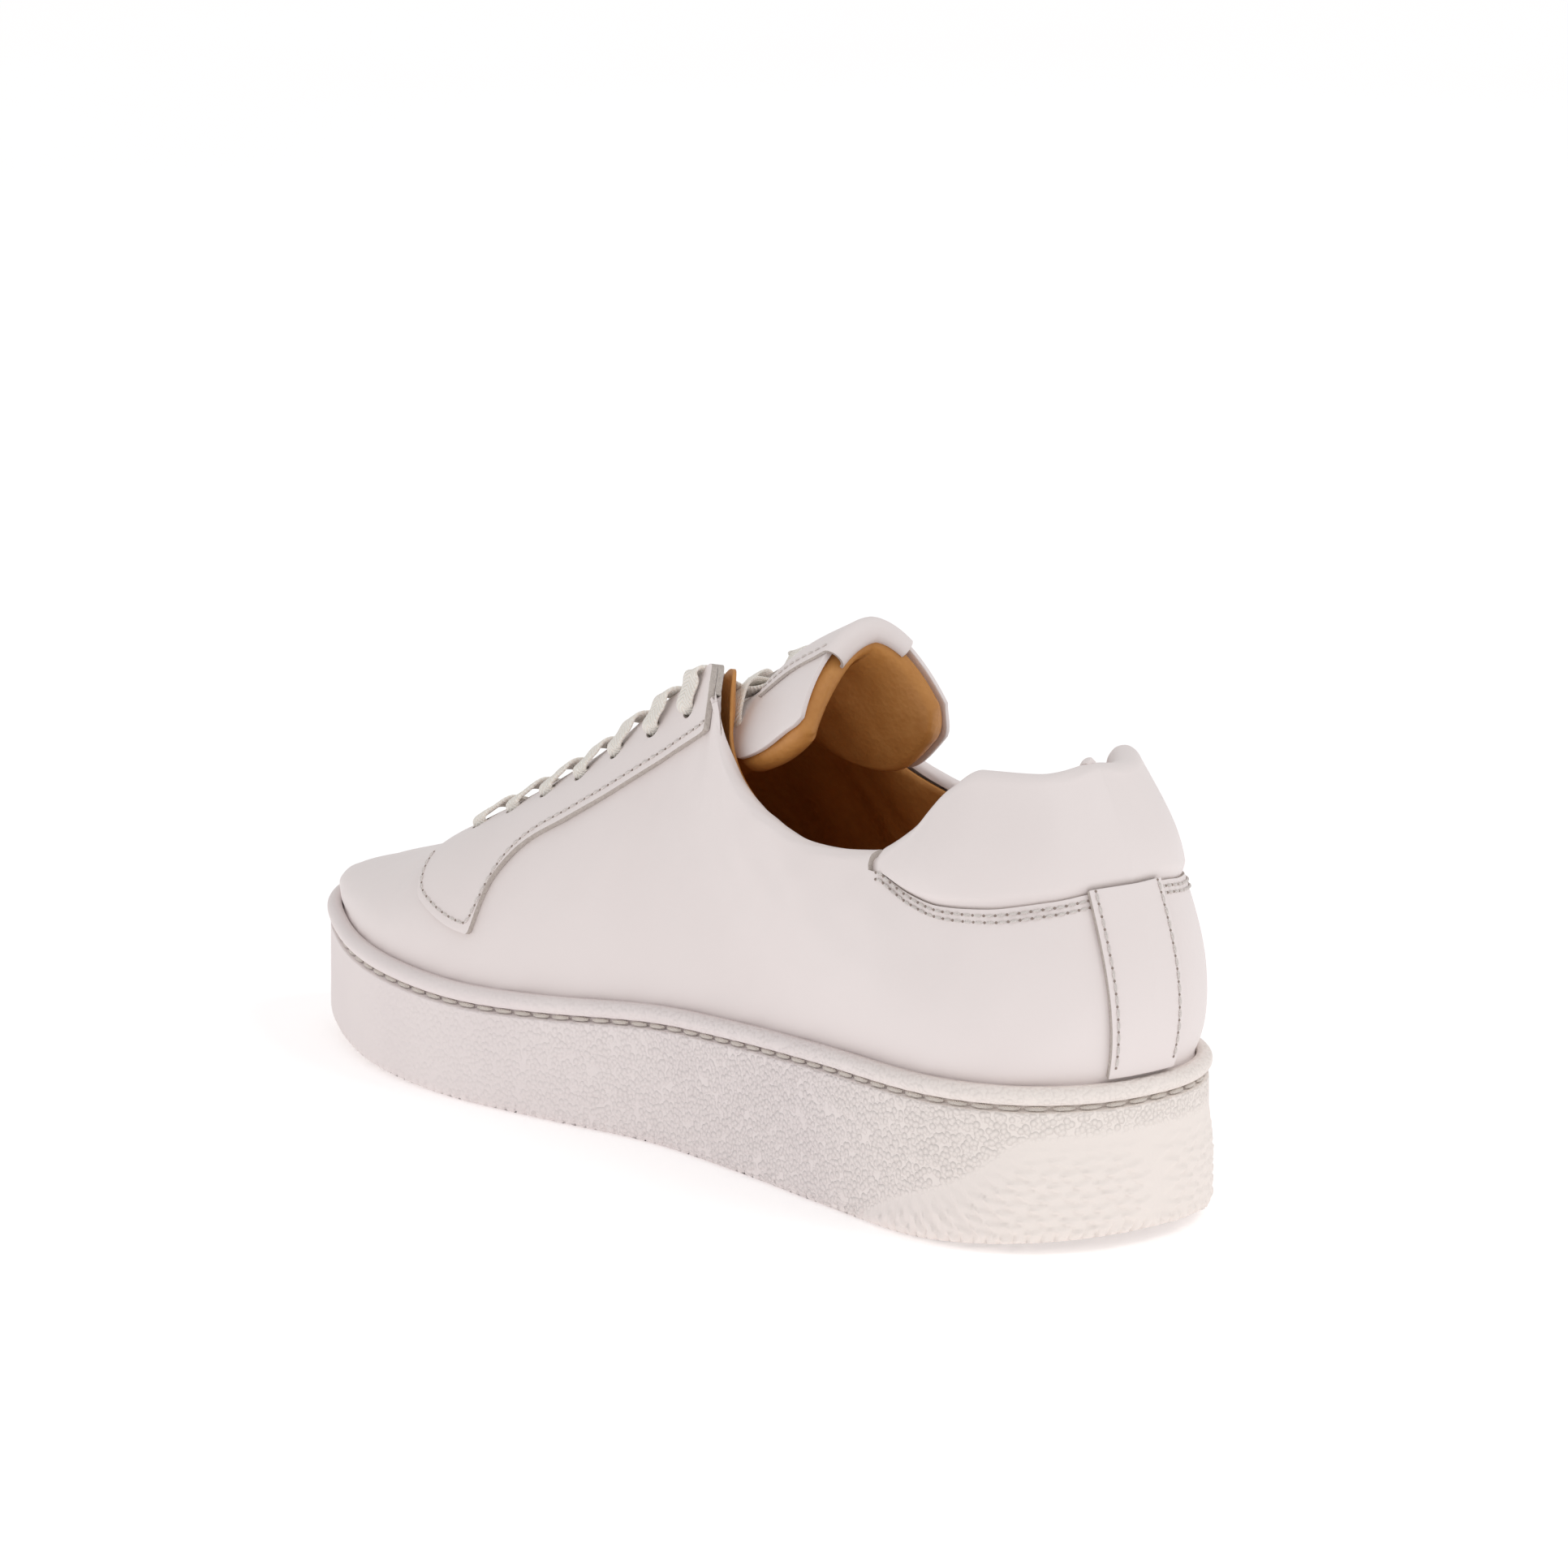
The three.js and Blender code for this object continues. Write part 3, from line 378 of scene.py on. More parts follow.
rim_top = height_curve([(-150, 39.5), (-90, 39), (-20, 35.75), (60, 30), (110, mixed(30, 36.1, 0.35)), (150, 36.1)])


def underside(x):
    return 5.95 * (np.maximum(0, x - 50) / 100) ** 2 + 3.5 * (np.maximum(0, -x - 105) / 45) ** 1.5


# Patterns and strips along the outline count its whole share, 1, as this many millimetres.
PATTERN_RUN = 425
print("outline length on the inner side:", round(float(runs[MEDIAL][-1]), 1), "mm")

# %% [markdown]
# ## From grids of points to pieces
# Nearly every piece of this shoe is a curved sheet between two seams, and its points come straight from the
# outline.
# A primitive shaped by hand can't follow such a surface, so these pieces are made as grids of points in
# code, and modifiers give them thickness and soft edges.

# %% Make a mesh piece
def in_edit_mode(made, operator, **settings):
    """Runs one edit-mode operator on the whole of a piece."""
    bpy.ops.object.select_all(action="DESELECT")
    bpy.context.view_layer.objects.active = made
    made.select_set(True)
    bpy.ops.object.mode_set(mode="EDIT")
    bpy.ops.mesh.select_all(action="SELECT")
    operator(**settings)
    bpy.ops.object.mode_set(mode="OBJECT")
    made.select_set(False)


def piece(name, points, faces, finishes, uvs=None, face_finish=None, attributes=None, closed=False):
    """A mesh from points in millimetres. The faces of a closed one are turned outwards."""
    mesh = bpy.data.meshes.new(name)
    faces = faces.tolist() if isinstance(faces, np.ndarray) else faces
    mesh.from_pydata((np.asarray(points, float).reshape(-1, 3) / 1000).tolist(), [], faces)
    made = bpy.data.objects.new(name, mesh)
    bpy.context.collection.objects.link(made)
    for finish in finishes:
        mesh.materials.append(finish.material)
    if uvs is not None:
        layer = mesh.uv_layers.new(name="UVMap")
        corner = np.empty(len(mesh.loops), int)
        mesh.loops.foreach_get("vertex_index", corner)
        layer.data.foreach_set("uv", np.asarray(uvs, float).reshape(-1, 2)[corner].ravel())
    if face_finish is not None:
        mesh.polygons.foreach_set("material_index", np.asarray(face_finish, int))
    for key, values in (attributes or {}).items():
        mesh.attributes.new(key, "FLOAT", "POINT").data.foreach_set("value", np.asarray(values, float).ravel())
    mesh.polygons.foreach_set("use_smooth", np.ones(len(mesh.polygons), bool))
    mesh.update()
    if closed:
        in_edit_mode(made, bpy.ops.mesh.normals_make_consistent, inside=False)
    return made


def grid_faces(rows, columns, flip=False, close=False):
    """Four-cornered faces between the points of a grid. A closed one joins its last column to its first."""
    a = np.arange(rows * columns).reshape(rows, columns)
    if close:
        a = np.hstack([a, a[:, :1]])
    quads = np.stack([a[:-1, :-1], a[:-1, 1:], a[1:, 1:], a[1:, :-1]], -1).reshape(-1, 4)
    return quads[:, ::-1] if flip else quads


def cap_faces(count, start, around, flip):
    """Faces straight across a loop that has count points on one side, from heel to toe, and around in all."""
    caps = []
    for i in range(count - 1):
        corners = list(dict.fromkeys(start + v for v in (i, i + 1, (around - i - 1) % around, (around - i) % around)))
        caps.append(corners[::-1] if flip else corners)
    return caps


def joined(parts, name, gap):
    """One piece from sheets, merged where their points meet."""
    bpy.ops.object.select_all(action="DESELECT")
    for part in parts:
        part.select_set(True)
    bpy.context.view_layer.objects.active = parts[0]
    bpy.ops.object.join()
    made = bpy.context.view_layer.objects.active
    made.name = made.data.name = name
    in_edit_mode(made, bpy.ops.mesh.remove_doubles, threshold=gap)
    return made


def apply(made, kind, **settings):
    """Adds a modifier and applies it."""
    bpy.context.view_layer.objects.active = made
    modifier = made.modifiers.new(kind.lower(), kind)
    for key, value in settings.items():
        setattr(modifier, key, value)
    bpy.ops.object.modifier_apply(modifier=modifier.name)


def thicken(made, thickness, soft=0.25, rim=None):
    """A sheet gets its thickness inwards, its cut edge gets its own finish, and the edge is softened."""
    settings = {"thickness": thickness / 1000, "offset": -1, "use_even_offset": False}
    if rim is not None:
        settings["material_offset_rim"] = rim
    apply(made, "SOLIDIFY", **settings)
    if soft:
        apply(made, "BEVEL", width=soft / 1000, segments=2, limit_method="ANGLE", angle_limit=math.radians(50))
    made.data.polygons.foreach_set("use_smooth", np.ones(len(made.data.polygons), bool))


def fit_on(made, body, *nodes):
    """The piece moves with a body and stands for the CAD nodes that are given."""
    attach(made, body)
    if nodes:
        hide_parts(*nodes)
    low, high = np.array(made.bound_box).min(0), np.array(made.bound_box).max(0)
    print(made.name, [round(float(c) * 1000, 1) for c in high - low], "mm,", len(made.data.polygons), "faces")
    return made

# %% [markdown]
# ## The cupsole
# The sole is one rubber moulding: a flat tread, a side wall, a groove for the stitches and a round bead
# that hugs the upper.
# Its section is a list of rows, each an inset from the outline and a height, and it is carried round the
# outline.
# The stations stand closest round the heel, where the relief is finest.
# The heel's scales and the notches along the tread are real relief, pushed into the wall's points.

# %% The scales and notches
SCALE_LENGTH, SCALE_WIDTH = 9.0, 5.5


def scale_places():
    """Where each scale's base sits on the unrolled wall, and how steeply its point turns up: more towards the waist."""
    places = []
    for row in range(-1, 11):
        for column in range(-17, 18):
            run = column * 6.6 + (row % 2) * 3.3 + 0.5 * math.sin(row * 2.3 + column * 1.7)
            height = row * 2.75 - 1.0 + 0.4 * math.sin(row * 1.1 + column * 2.9)
            steep = min(1, max(0, (84 - abs(run)) / 50))
            places.append((run, height, mixed(1.3, 0.12, steep)))
    return places


def scale_relief(run, height):
    """Height of the pointed scales on the wall, unrolled to run and height: each rises from its base to its point."""
    best = np.full_like(run, 0.3)
    for base_run, base_height, turn in scale_places():
        away = (run - base_run) * math.copysign(1, base_run + 0.01)
        up = height - base_height
        along = (away * math.cos(turn) + up * math.sin(turn)) / SCALE_LENGTH
        aside = np.abs(away * math.sin(turn) - up * math.cos(turn)) / (SCALE_WIDTH / 2)
        inside = (along > 0) & (along < 1) & (aside < 1 - along)
        crease = np.clip((1 - along - aside) * SCALE_WIDTH / 2 / 0.9, 0, 1)
        best = np.maximum(best, inside * (0.35 + 0.65 * along) * (0.45 + 0.55 * crease))
    return best


scale_border = height_curve([
    (-150, 28.2), (-143, 27.8), (-137, 26.2), (-131.6, 21.7), (-124, 16.2), (-102, 7), (-88, -1),
])

# %% Build the cupsole
shares = np.concatenate([np.linspace(0, 0.25, 260), np.linspace(0.25, 1, 300)[1:]])
stations = [(MEDIAL, k) for k in shares] + [(LATERAL, k) for k in shares[-2:0:-1]]
side_of = np.array([s for s, _ in stations])
share_of = np.array([k for _, k in stations])
around = len(stations)


def ring_point(inset):
    made = np.empty((around, 2))
    for side in (MEDIAL, LATERAL):
        pick = side_of == side
        made[pick] = edge(side, share_of[pick], inset if np.isscalar(inset) else inset[pick])
    return made


station_x = ring_point(0.0)[:, 0]
GROOVE = 5.1
section = [("low", 9, 0), ("low", 3.4, 0), ("low", 1.9, 0), ("low", 1.2, 0.4), ("low", 0.75, 1.2), ("low", 0.6, 2.2)]
section += [("wall", 0.6 + 0.25 * f, f) for f in np.linspace(0.02, 0.985, 55)]
section += [("high", 0.9, -GROOVE - 0.95), ("high", 1.3, -GROOVE - 0.8), ("high", 3.2, -GROOVE - 0.6)]
section += [("high", 3.2, -GROOVE + 0.6), ("high", 1.5, -GROOVE + 0.8), ("high", 1.0, -GROOVE + 0.98)]
bead = [math.radians(a) for a in range(-50, 91, 14)]
section += [("high", 2.2 - 2.2 * math.cos(a), -2.25 + 2.2 * math.sin(a)) for a in bead]
section += [("high", 3.5, -0.12), ("high", 3.8, -0.6), ("high", 3.8, -11), ("high", 5.2, -22)]

rows, pebble_rows, warm_rows, uv_rows = [], [], [], []
for kind, inset, level in section:
    place = ring_point(float(inset))
    x = place[:, 0]
    foot, top = underside(x) + 2.2, rim_top(x)
    if kind == "low":
        z = underside(x) + level
    elif kind == "wall":
        z = mixed(foot, top - GROOVE - 0.95, level)
    else:
        z = top + level
    run = share_of * PATTERN_RUN * side_of
    push = np.zeros(around)
    scales = np.zeros(around)
    if kind in ("wall", "low") and inset < 1.5:
        border = scale_border(station_x)
        inside = 1 / (1 + np.exp(-(border - z) / 0.5)) * (station_x < -86)
        steep = np.clip((-station_x - 92) / 44, 0, 1)
        fade = np.clip((border - z) / (2 + 7 * steep), 0, 1) * np.clip((z - 0.3) / 1.5, 0.2, 1)
        scales = inside
        push += 1.7 * scale_relief(run, z) * inside * fade
        above = z - underside(x)
        slant = (run * side_of + above * 0.6) / 4.1
        notch = np.clip(1 - np.abs(slant - np.round(slant)) * 4.2, 0, 1) * np.clip(1 - above / 3.6, 0, 1)
        push -= 1.15 * notch * (station_x < 128)
    place = place if not push.any() else ring_point(inset - push)
    rows.append(np.column_stack([place, z]))
    rear = np.clip((105 - station_x) / 150, 0, 1) ** 0.8
    calm = 0.25 if kind == "high" and inset > 2.5 else 1.0
    pebble_rows.append(rear * (1 - scales) * calm * (0.55 if kind == "high" else 1))
    warm_rows.append(np.clip((-station_x - 70) / 70, 0, 1))
    uv_rows.append(np.column_stack([run, np.full(around, len(rows) * 1.0)]))

sole_points = np.array(rows)
quads = grid_faces(len(section), around, flip=True, close=True)
tread_faces = np.zeros(len(quads), int)
tread_faces[:around] = 1


bottom = cap_faces(len(shares), 0, around, False)
floor_of_cup = cap_faces(len(shares), (len(section) - 1) * around, around, True)
cup = piece(
    "moulded_cup", sole_points, [*quads.tolist(), *bottom, *floor_of_cup], [sole_rubber, tread_rubber],
    np.array(uv_rows), [*tread_faces, *[1] * len(bottom), *[0] * len(floor_of_cup)],
    {"pebble": np.array(pebble_rows), "warm": np.array(warm_rows)}, closed=True,
)
fit_on(cup, "shoe", "cupsole")

# %% [markdown]
# ## The upper's surface
# The leather is drawn over the foot like ribs of a boat: each rib starts at the bead, swells outwards and
# leans in to the top edge.
# A rib is a Bezier curve, and a place on the leather is a side, a share along the outline and a share up
# its rib.

# %% Ribs
COLLAR_BACK, COLLAR_CORNER, COLLAR_LOW, THROAT_TOP, RIDGE = 111.5, 110.5, 85.5, 118, 60.5
fall = lambda share: mixed(RIDGE, THROAT_TOP, share)
top_rows = np.array([
    (0, -130, 0, 0, COLLAR_BACK), (0.045, -127, 0, 13, COLLAR_BACK - 1.5), (0.09, -116, 0, 24, COLLAR_CORNER),
    (0.13, -108, 0, 28, mixed(COLLAR_LOW, COLLAR_CORNER, 0.8)),
    (0.175, -98, 0, 31, mixed(COLLAR_LOW, COLLAR_CORNER, 0.36)),
    (0.22, -86, 0, 33.3, COLLAR_LOW + 2), (0.28, -66, 0, 33.3, COLLAR_LOW), (0.34, -46, 0, 31.5, COLLAR_LOW + 3.5),
    (0.39, -30, 0, 28, mixed(COLLAR_LOW, THROAT_TOP, 0.3)), (0.425, -21, 0, 24.5, mixed(COLLAR_LOW, THROAT_TOP, 0.52)),
    (0.455, -15.5, 0, 21, mixed(COLLAR_LOW, THROAT_TOP, 0.82)), (0.48, -11, 0, 16.5, THROAT_TOP),
    (0.52, 1, 0, 13.5, fall(0.87)), (0.56, 14, 0.3, 12.5, fall(0.73)), (0.62, 34, 0.8, 12, fall(0.49)),
    (0.68, 54, 1.3, 12, fall(0.29)), (0.74, 74, 2, 12, fall(0.105)), (0.78, 87, 3, 9, RIDGE),
    (0.8, 93, 3.5, 0, RIDGE - 2),
    (0.85, 106, 5, 0, 52.8), (0.9, 120, 7, 0, 48.6), (0.94, 131, 8.5, 0, 45.2), (0.97, 139.5, 9.8, 0, 42),
    (0.99, 143.5, 10.3, 0, 39),
])
top_x, top_centre, top_gap, top_z = (height_curve(top_rows[:, [0, c]]) for c in (1, 2, 3, 4))
foot_rise = height_curve([(0, 0.32), (0.2, 0.3), (0.45, 0.45), (0.8, 0.52), (1, 0.6)])
foot_out = height_curve([(0, 10), (0.1, 9), (0.2, 5), (0.35, 3), (0.6, 2.5), (0.85, 3), (1, 4)])
head_out = height_curve([(0, 9), (0.1, 8), (0.2, 4), (0.3, 3), (0.42, 3), (0.48, 0)])
head_side = height_curve([(0.4, 0), (0.48, 0.25), (0.56, 0.55), (0.78, 0.62), (0.82, 0.7), (1, 0.75)])
head_drop = height_curve([(0, 0.34), (0.3, 0.3), (0.48, 0.24), (0.6, 0.16), (0.8, 0.08), (1, 0.02)])


def skin(side, k, t):
    """The outer face of the leather. Below t = 0 it drops into the cup."""
    k, t = np.broadcast_arrays(np.asarray(k, float), np.asarray(t, float))
    foot = edge(side, k, 4.15)
    away = unit(foot - edge(side, k, 9.15))
    foot = np.concatenate([foot, rim_top(foot[..., :1])], -1)
    away = np.concatenate([away, np.zeros_like(away[..., :1])], -1)
    head = np.stack([top_x(k), top_centre(k) + side * top_gap(k), top_z(k)], -1)
    tall = (head - foot)[..., 2]
    low = foot + away * foot_out(k)[..., None]
    low[..., 2] += foot_rise(k) * tall
    high = head + away * head_out(k)[..., None]
    high[..., :2] += (foot - head)[..., :2] * head_side(k)[..., None]
    high[..., 2] -= head_drop(k) * tall
    u = np.clip(t, 0, 1)[..., None]
    s = 1 - u
    made = foot * s**3 + 3 * low * s * s * u + 3 * high * s * u * u + head * u**3
    made[..., 2] += np.minimum(t, 0) * 11
    return made


def skin_normal(side, k, t):
    k, t = np.broadcast_arrays(np.asarray(k, float), np.asarray(t, float))
    e = 0.004
    base = np.clip(t - e, -1, 1 - e)
    along = skin(side, np.minimum(k + e, 0.999), t) - skin(side, np.maximum(k - e, 0), t)
    up = skin(side, k, base + e) - skin(side, k, base)
    along = np.where((k <= 0)[..., None], [0, side, 0], along)
    up = np.where(((k >= 0.8) & (t >= 1 - e))[..., None], [0, -side, 0], up)
    return unit(np.cross(up, along)) * side


def at_height(side, k, z):
    """How far up its rib the leather reaches a height."""
    low, high = np.zeros_like(k), np.ones_like(k)
    for _ in range(24):
        middle = (low + high) / 2
        below = skin(side, k, middle)[..., 2] < z
        low, high = np.where(below, middle, low), np.where(below, high, middle)
    return (low + high) / 2


SEAM_END = 0.215
seam_height = height_curve([
    (0, 84.3), (0.03, 84), (0.06, mixed(80.2, 84.3, 0.6)), (0.1, 80.7), (0.14, 80.2), (0.17, 81.7), (0.2, 85.2),
])
print("a rib at the collar is", round(float(skin(MEDIAL, 0.28, 1.0)[2] - skin(MEDIAL, 0.28, 0.0)[2]), 1), "mm tall")

# %% [markdown]
# ## Rolled edges and sheets on the surface
# The collar's leather turns over the top edge and down inside, round the foam. So a row above 1 no longer
# climbs the rib: it goes round an arc.
# A sheet is then a block of rows between two heights on a run of shares, pushed in or out along the
# surface's normal.

# %% The wall of the upper, with its roll
foam_share = height_curve([(0, 1), (0.2, 1), (0.27, 0.35), (0.44, 0.2), (0.5, 0)])
foam_rise = height_curve([(0.5, 0), (0.8, 1), (1, 0.9)])
roll_share = height_curve([(0, 1), (0.4, 1), (0.462, 0.0), (1, 0.0)])


def lining_depth(k, t):
    return 1.95 + np.maximum(1.2, 5.5 * foam_share(k) * foam_rise(t)) + 0.35


def roll_radius(k):
    return (lining_depth(k, np.ones_like(k)) + 0.6) / 2


def wall(side, k, u, depth=0.0):
    """u up to 1 climbs the rib; u from 1 to 2 goes over the top edge and down inside."""
    k, u = np.broadcast_arrays(np.asarray(k, float), np.asarray(u, float))
    tall = np.linalg.norm(skin(side, k, 1.0) - skin(side, k, 0.8), axis=-1) / 0.2
    share = roll_share(k)
    radius = roll_radius(k) * share
    last = 1 - radius / tall
    t = np.minimum(u, 1) * np.where(u > 0, last, 1)
    normal = skin_normal(side, k, t)
    up = unit(skin(side, k, last) - skin(side, k, last - 0.01))
    turn = np.clip(u - 1, 0, 1) * math.pi * 0.96
    outward = normal * np.cos(turn)[..., None] + up * np.sin(turn)[..., None]
    centre = skin(side, k, t) - normal * radius[..., None]
    return centre + outward * (radius - depth)[..., None], outward


def wrinkles(k, t, size):
    """Soft creases of worn leather, in millimetres."""
    a = np.sin(k * 61 + 3 * np.sin(t * 5)) * np.sin(t * 9 + k * 23)
    b = np.sin(k * 143 + t * 21 + 2 * np.sin(k * 37))
    return size * (0.65 * a + 0.35 * b)


def cut_holes(points, faces, centres, radius):
    """Takes the faces inside each round hole away and pulls their rim onto the circle."""
    flat = points.reshape(-1, 3)
    keep = np.ones(len(faces), bool)
    for centre, normal in centres:
        to = flat - centre
        to = to - (to @ normal)[:, None] * normal
        away = np.linalg.norm(to, axis=1)
        near = (np.linalg.norm(flat - centre, axis=1) < radius * 3)
        middle = to[faces].mean(1)
        gone = (np.linalg.norm(middle, axis=1) < radius) & near[faces].all(1)
        rim = np.intersect1d(faces[gone], faces[~gone & near[faces].any(1)])
        flat[rim] += (unit(to[rim]) * radius - to[rim])
        keep &= ~gone
    return flat, faces[keep]

# %% [markdown]
# ## Eyelets
# Seven plain holes are punched on each side, a set distance in from the throat's edge. Every layer under
# the overlay is punched with them.

# %% Eyelet places
def share_at_x(x):
    low, high = 0.48, 0.8
    for _ in range(30):
        middle = (low + high) / 2
        low, high = (middle, high) if top_x(middle) < x else (low, middle)
    return (low + high) / 2


eyelets = {}
for pair in range(7):
    k = share_at_x(75 - 13 * pair)
    for side in (MEDIAL, LATERAL):
        head = skin(side, k, 1.0)
        options = np.linspace(0.4, 1, 1500)
        reach = np.linalg.norm(skin(side, np.full(1500, k), options) - head, axis=1)
        t = options[np.abs(reach - 8.5).argmin()]
        eyelets[side, pair] = {"k": k, "t": t, "p": skin(side, k, t), "n": skin_normal(side, k, t)}
print("eyelets:", len(eyelets), "pitch", round(float(np.linalg.norm(eyelets[1, 0]["p"] - eyelets[1, 1]["p"])), 1), "mm")


def punched(side):
    return [(eyelets[side, i]["p"], eyelets[side, i]["n"]) for i in range(7)]

# %% [markdown]
# ## The main leather
# One piece of leather runs from the toe round both sides to the heel. At the rear it stops at the collar's
# seam with a raw edge, along the collar's dip it rolls over, and along the throat it is cut.

# %% Main leather
def sheet(name, side, k, u, push, holes=None):
    """A grid of rows u over shares k. push moves each point along its normal."""
    kk = np.broadcast_to(k[None, :], u.shape)
    points, normals = wall(side, kk, u)
    points = points + normals * push(kk, u)[..., None]
    faces = grid_faces(*u.shape, flip=(side == MEDIAL))
    steps = np.linalg.norm(np.diff(points, axis=0), axis=2)
    climb = np.concatenate([np.zeros((1, u.shape[1])), np.cumsum(steps, axis=0)])
    uvs = np.stack([kk * PATTERN_RUN, climb], -1)
    if holes:
        points, faces = cut_holes(points, faces, holes, 2.55)
    return piece(name, points, faces, [white_leather, raw_edge], uvs)


def block(k, low, high, rows, ease=1.0):
    share = np.linspace(0, 1, rows)[:, None] ** ease
    return low[None, :] + (high - low)[None, :] * share


def seam_share(side, k):
    return at_height(side, k, seam_height(k))


def dimple(k, u):
    return wrinkles(k, u, 0.12) + 0.25 * np.sin(k * 90) * np.exp(-(((u - 0.8) / 0.15) ** 2)) * (np.abs(k - 0.3) < 0.12)


uppers = []
for side, word in ((MEDIAL, "inner"), (LATERAL, "outer")):
    k = np.concatenate([np.linspace(0, SEAM_END - 0.001, 92), np.linspace(SEAM_END, 1.0, 280)])
    seam = seam_share(side, k)
    high = np.where(k < SEAM_END, np.minimum(seam / (1 - 0.03), 1.0), 1.0)
    low = np.full_like(k, -0.35)
    u = block(k, low, high, 58, 0.85)
    uppers.append(sheet("quarter_" + word, side, k, u, dimple, punched(side)))
    rolled = k[(k >= SEAM_END) & (k < 0.456)]
    u = block(rolled, np.ones_like(rolled), np.full_like(rolled, 2.0), 14)
    uppers.append(sheet("roll_" + word, side, rolled, u, dimple))
print("sheets of the main leather:", len(uppers))

# %% Join the quarters into one leather and give it thickness
main_leather = joined(uppers, "main_leather", 0.00012)
thicken(main_leather, 1.5, 0.2, rim=1)
fit_on(main_leather, "shoe", "upper_leather")

# %% [markdown]
# ## The padded collar
# Above the seam the collar is filled with foam, so its leather swells between the seam and the top edge,
# then rolls over the edge to the inside.
# The leather starts under the raw edge of the main piece, and the swell grows away from the seam.

# %% Padded collar
collars = []
for side, word in ((MEDIAL, "inner"), (LATERAL, "outer")):
    k = np.linspace(0, SEAM_END + 0.006, 120)
    seam = seam_share(side, np.minimum(k, 0.2)) / 0.955
    low = np.minimum(seam - 0.02, 0.97)
    u = np.concatenate([block(k, low, np.ones_like(k), 34), block(k, np.full_like(k, 1.03), np.full_like(k, 2.0), 18)])

    def swell(kk, uu, low=low, k=k):
        start = np.interp(kk, k, low)
        up = np.clip((uu - start) / (1.0 - start + 1e-6), 0, 1)
        fade = np.clip((SEAM_END - 0.012 - kk) / 0.06, 0, 1)
        under = -1.5 * np.clip((kk - SEAM_END + 0.012) / 0.01, 0, 1)
        tucked = -1.7 * np.clip(1 - up * 9, 0, 1)
        return (1.9 * np.sin(np.clip(up, 0, 1) ** 0.75 * math.pi) * fade + tucked * np.where(uu < 1, 1, 0)
                + wrinkles(kk, uu, 0.1) * np.clip(up * 3, 0, 1) + under)

    collars.append(sheet("collar_" + word, side, k, u, swell))
collar = joined(collars, "padded_collar", 0.0001)
thicken(collar, 1.3, 0.15, rim=1)
fit_on(collar, "shoe", "collar_panel", "collar_foam")

# %% [markdown]
# ## The tan lining
# Soft tan leather lines the heel and both quarters. It lies behind the foam and the counter, in loose
# folds, and meets the collar's roll just inside the top edge.

# %% Lining
def folds(kk, uu):
    tall = 0.9 + np.sin(kk * 74 + 2.2 * np.sin(uu * 6)) * 0.4 + np.sin(kk * 31 + uu * 9) * 0.5
    return -tall * np.clip(uu * 2, 0, 1) * np.clip((1.0 - uu) * 8, 0, 1)


def lining_piece(name, side, start, end, columns, node, finish=tan_leather):
    """A sheet behind the foam and the counter. Those of the quarters are punched with the eyelets."""
    k = np.linspace(start, end, columns)
    top = np.interp(k, [0, 0.2, 0.3, 0.44, 0.47], [0.955, 0.95, 0.945, 0.95, 0.99])
    u = block(k, np.full_like(k, -0.8), top, 50)
    kk = np.broadcast_to(k[None, :], u.shape)
    normal = skin_normal(side, kk, np.clip(u, -1, 0.99))
    points = skin(side, kk, u) - normal * (lining_depth(kk, np.clip(u, 0, 1)) + 0.1)[..., None]
    points = points + normal * folds(kk, u)[..., None] * (0.2 if node == "lining_vamp" else 1.0)
    faces = grid_faces(*u.shape, flip=(side == MEDIAL))
    if name.startswith("quarter"):
        points, faces = cut_holes(points, faces, punched(side), 2.6)
    made = piece(name, points, faces, [finish, raw_edge], np.stack([kk * PATTERN_RUN, u * 60], -1))
    thicken(made, 0.9, 0.0)
    fit_on(made, "shoe", node)


lining_piece("quarter_lining_inner", MEDIAL, 0.1, 0.785, 260, "lining_medial")
lining_piece("quarter_lining_outer", LATERAL, 0.1, 0.785, 260, "lining_lateral")
for side, word in ((MEDIAL, "inner"), (LATERAL, "outer")):
    lining_piece("heel_lining_" + word, side, 0.0, 0.1, 40, "lining_heel")
    lining_piece("vamp_lining_" + word, side, 0.8, 0.96, 60, "lining_vamp", lining_cloth)

# %% [markdown]
# ## Eyestays and the backstay
# These are strips of thicker leather laid on the main piece, cut with a knife, so their fibres show all
# round as a grey-beige edge.

# %% Eyestays
eyestay_edge = height_curve([
    (0.46, 103.5), (0.48, 101), (0.5, 97.5), (0.53, 91), (0.57, 82), (0.61, 74), (0.65, 65.5), (0.668, 57),
    (0.68, 42.5), (0.745, 47), (0.76, 51), (0.775, 56),
])
STRIP_LIFT = 1.6
for side, word in ((MEDIAL, "medial"), (LATERAL, "lateral")):
    k = np.linspace(0.462, 0.775, 150)
    low = np.minimum(0.96, at_height(side, k, eyestay_edge(k)))
    u = block(k, low, np.full_like(k, 1.0), 44)
    kk = np.broadcast_to(k[None, :], u.shape)
    points = skin(side, kk, u) + skin_normal(side, kk, u) * STRIP_LIFT
    holes = [(p + n * STRIP_LIFT, n) for p, n in punched(side)]
    points, faces = cut_holes(points, grid_faces(*u.shape, flip=(side == MEDIAL)), holes, 2.5)
    eyestay = piece("eyestay_strip_" + word, points, faces, [white_leather, raw_edge],
                    np.stack([kk * PATTERN_RUN, u * 60], -1))
    thicken(eyestay, 1.5, 0.22, rim=1)
    fit_on(eyestay, "shoe", "eyestay_" + word)

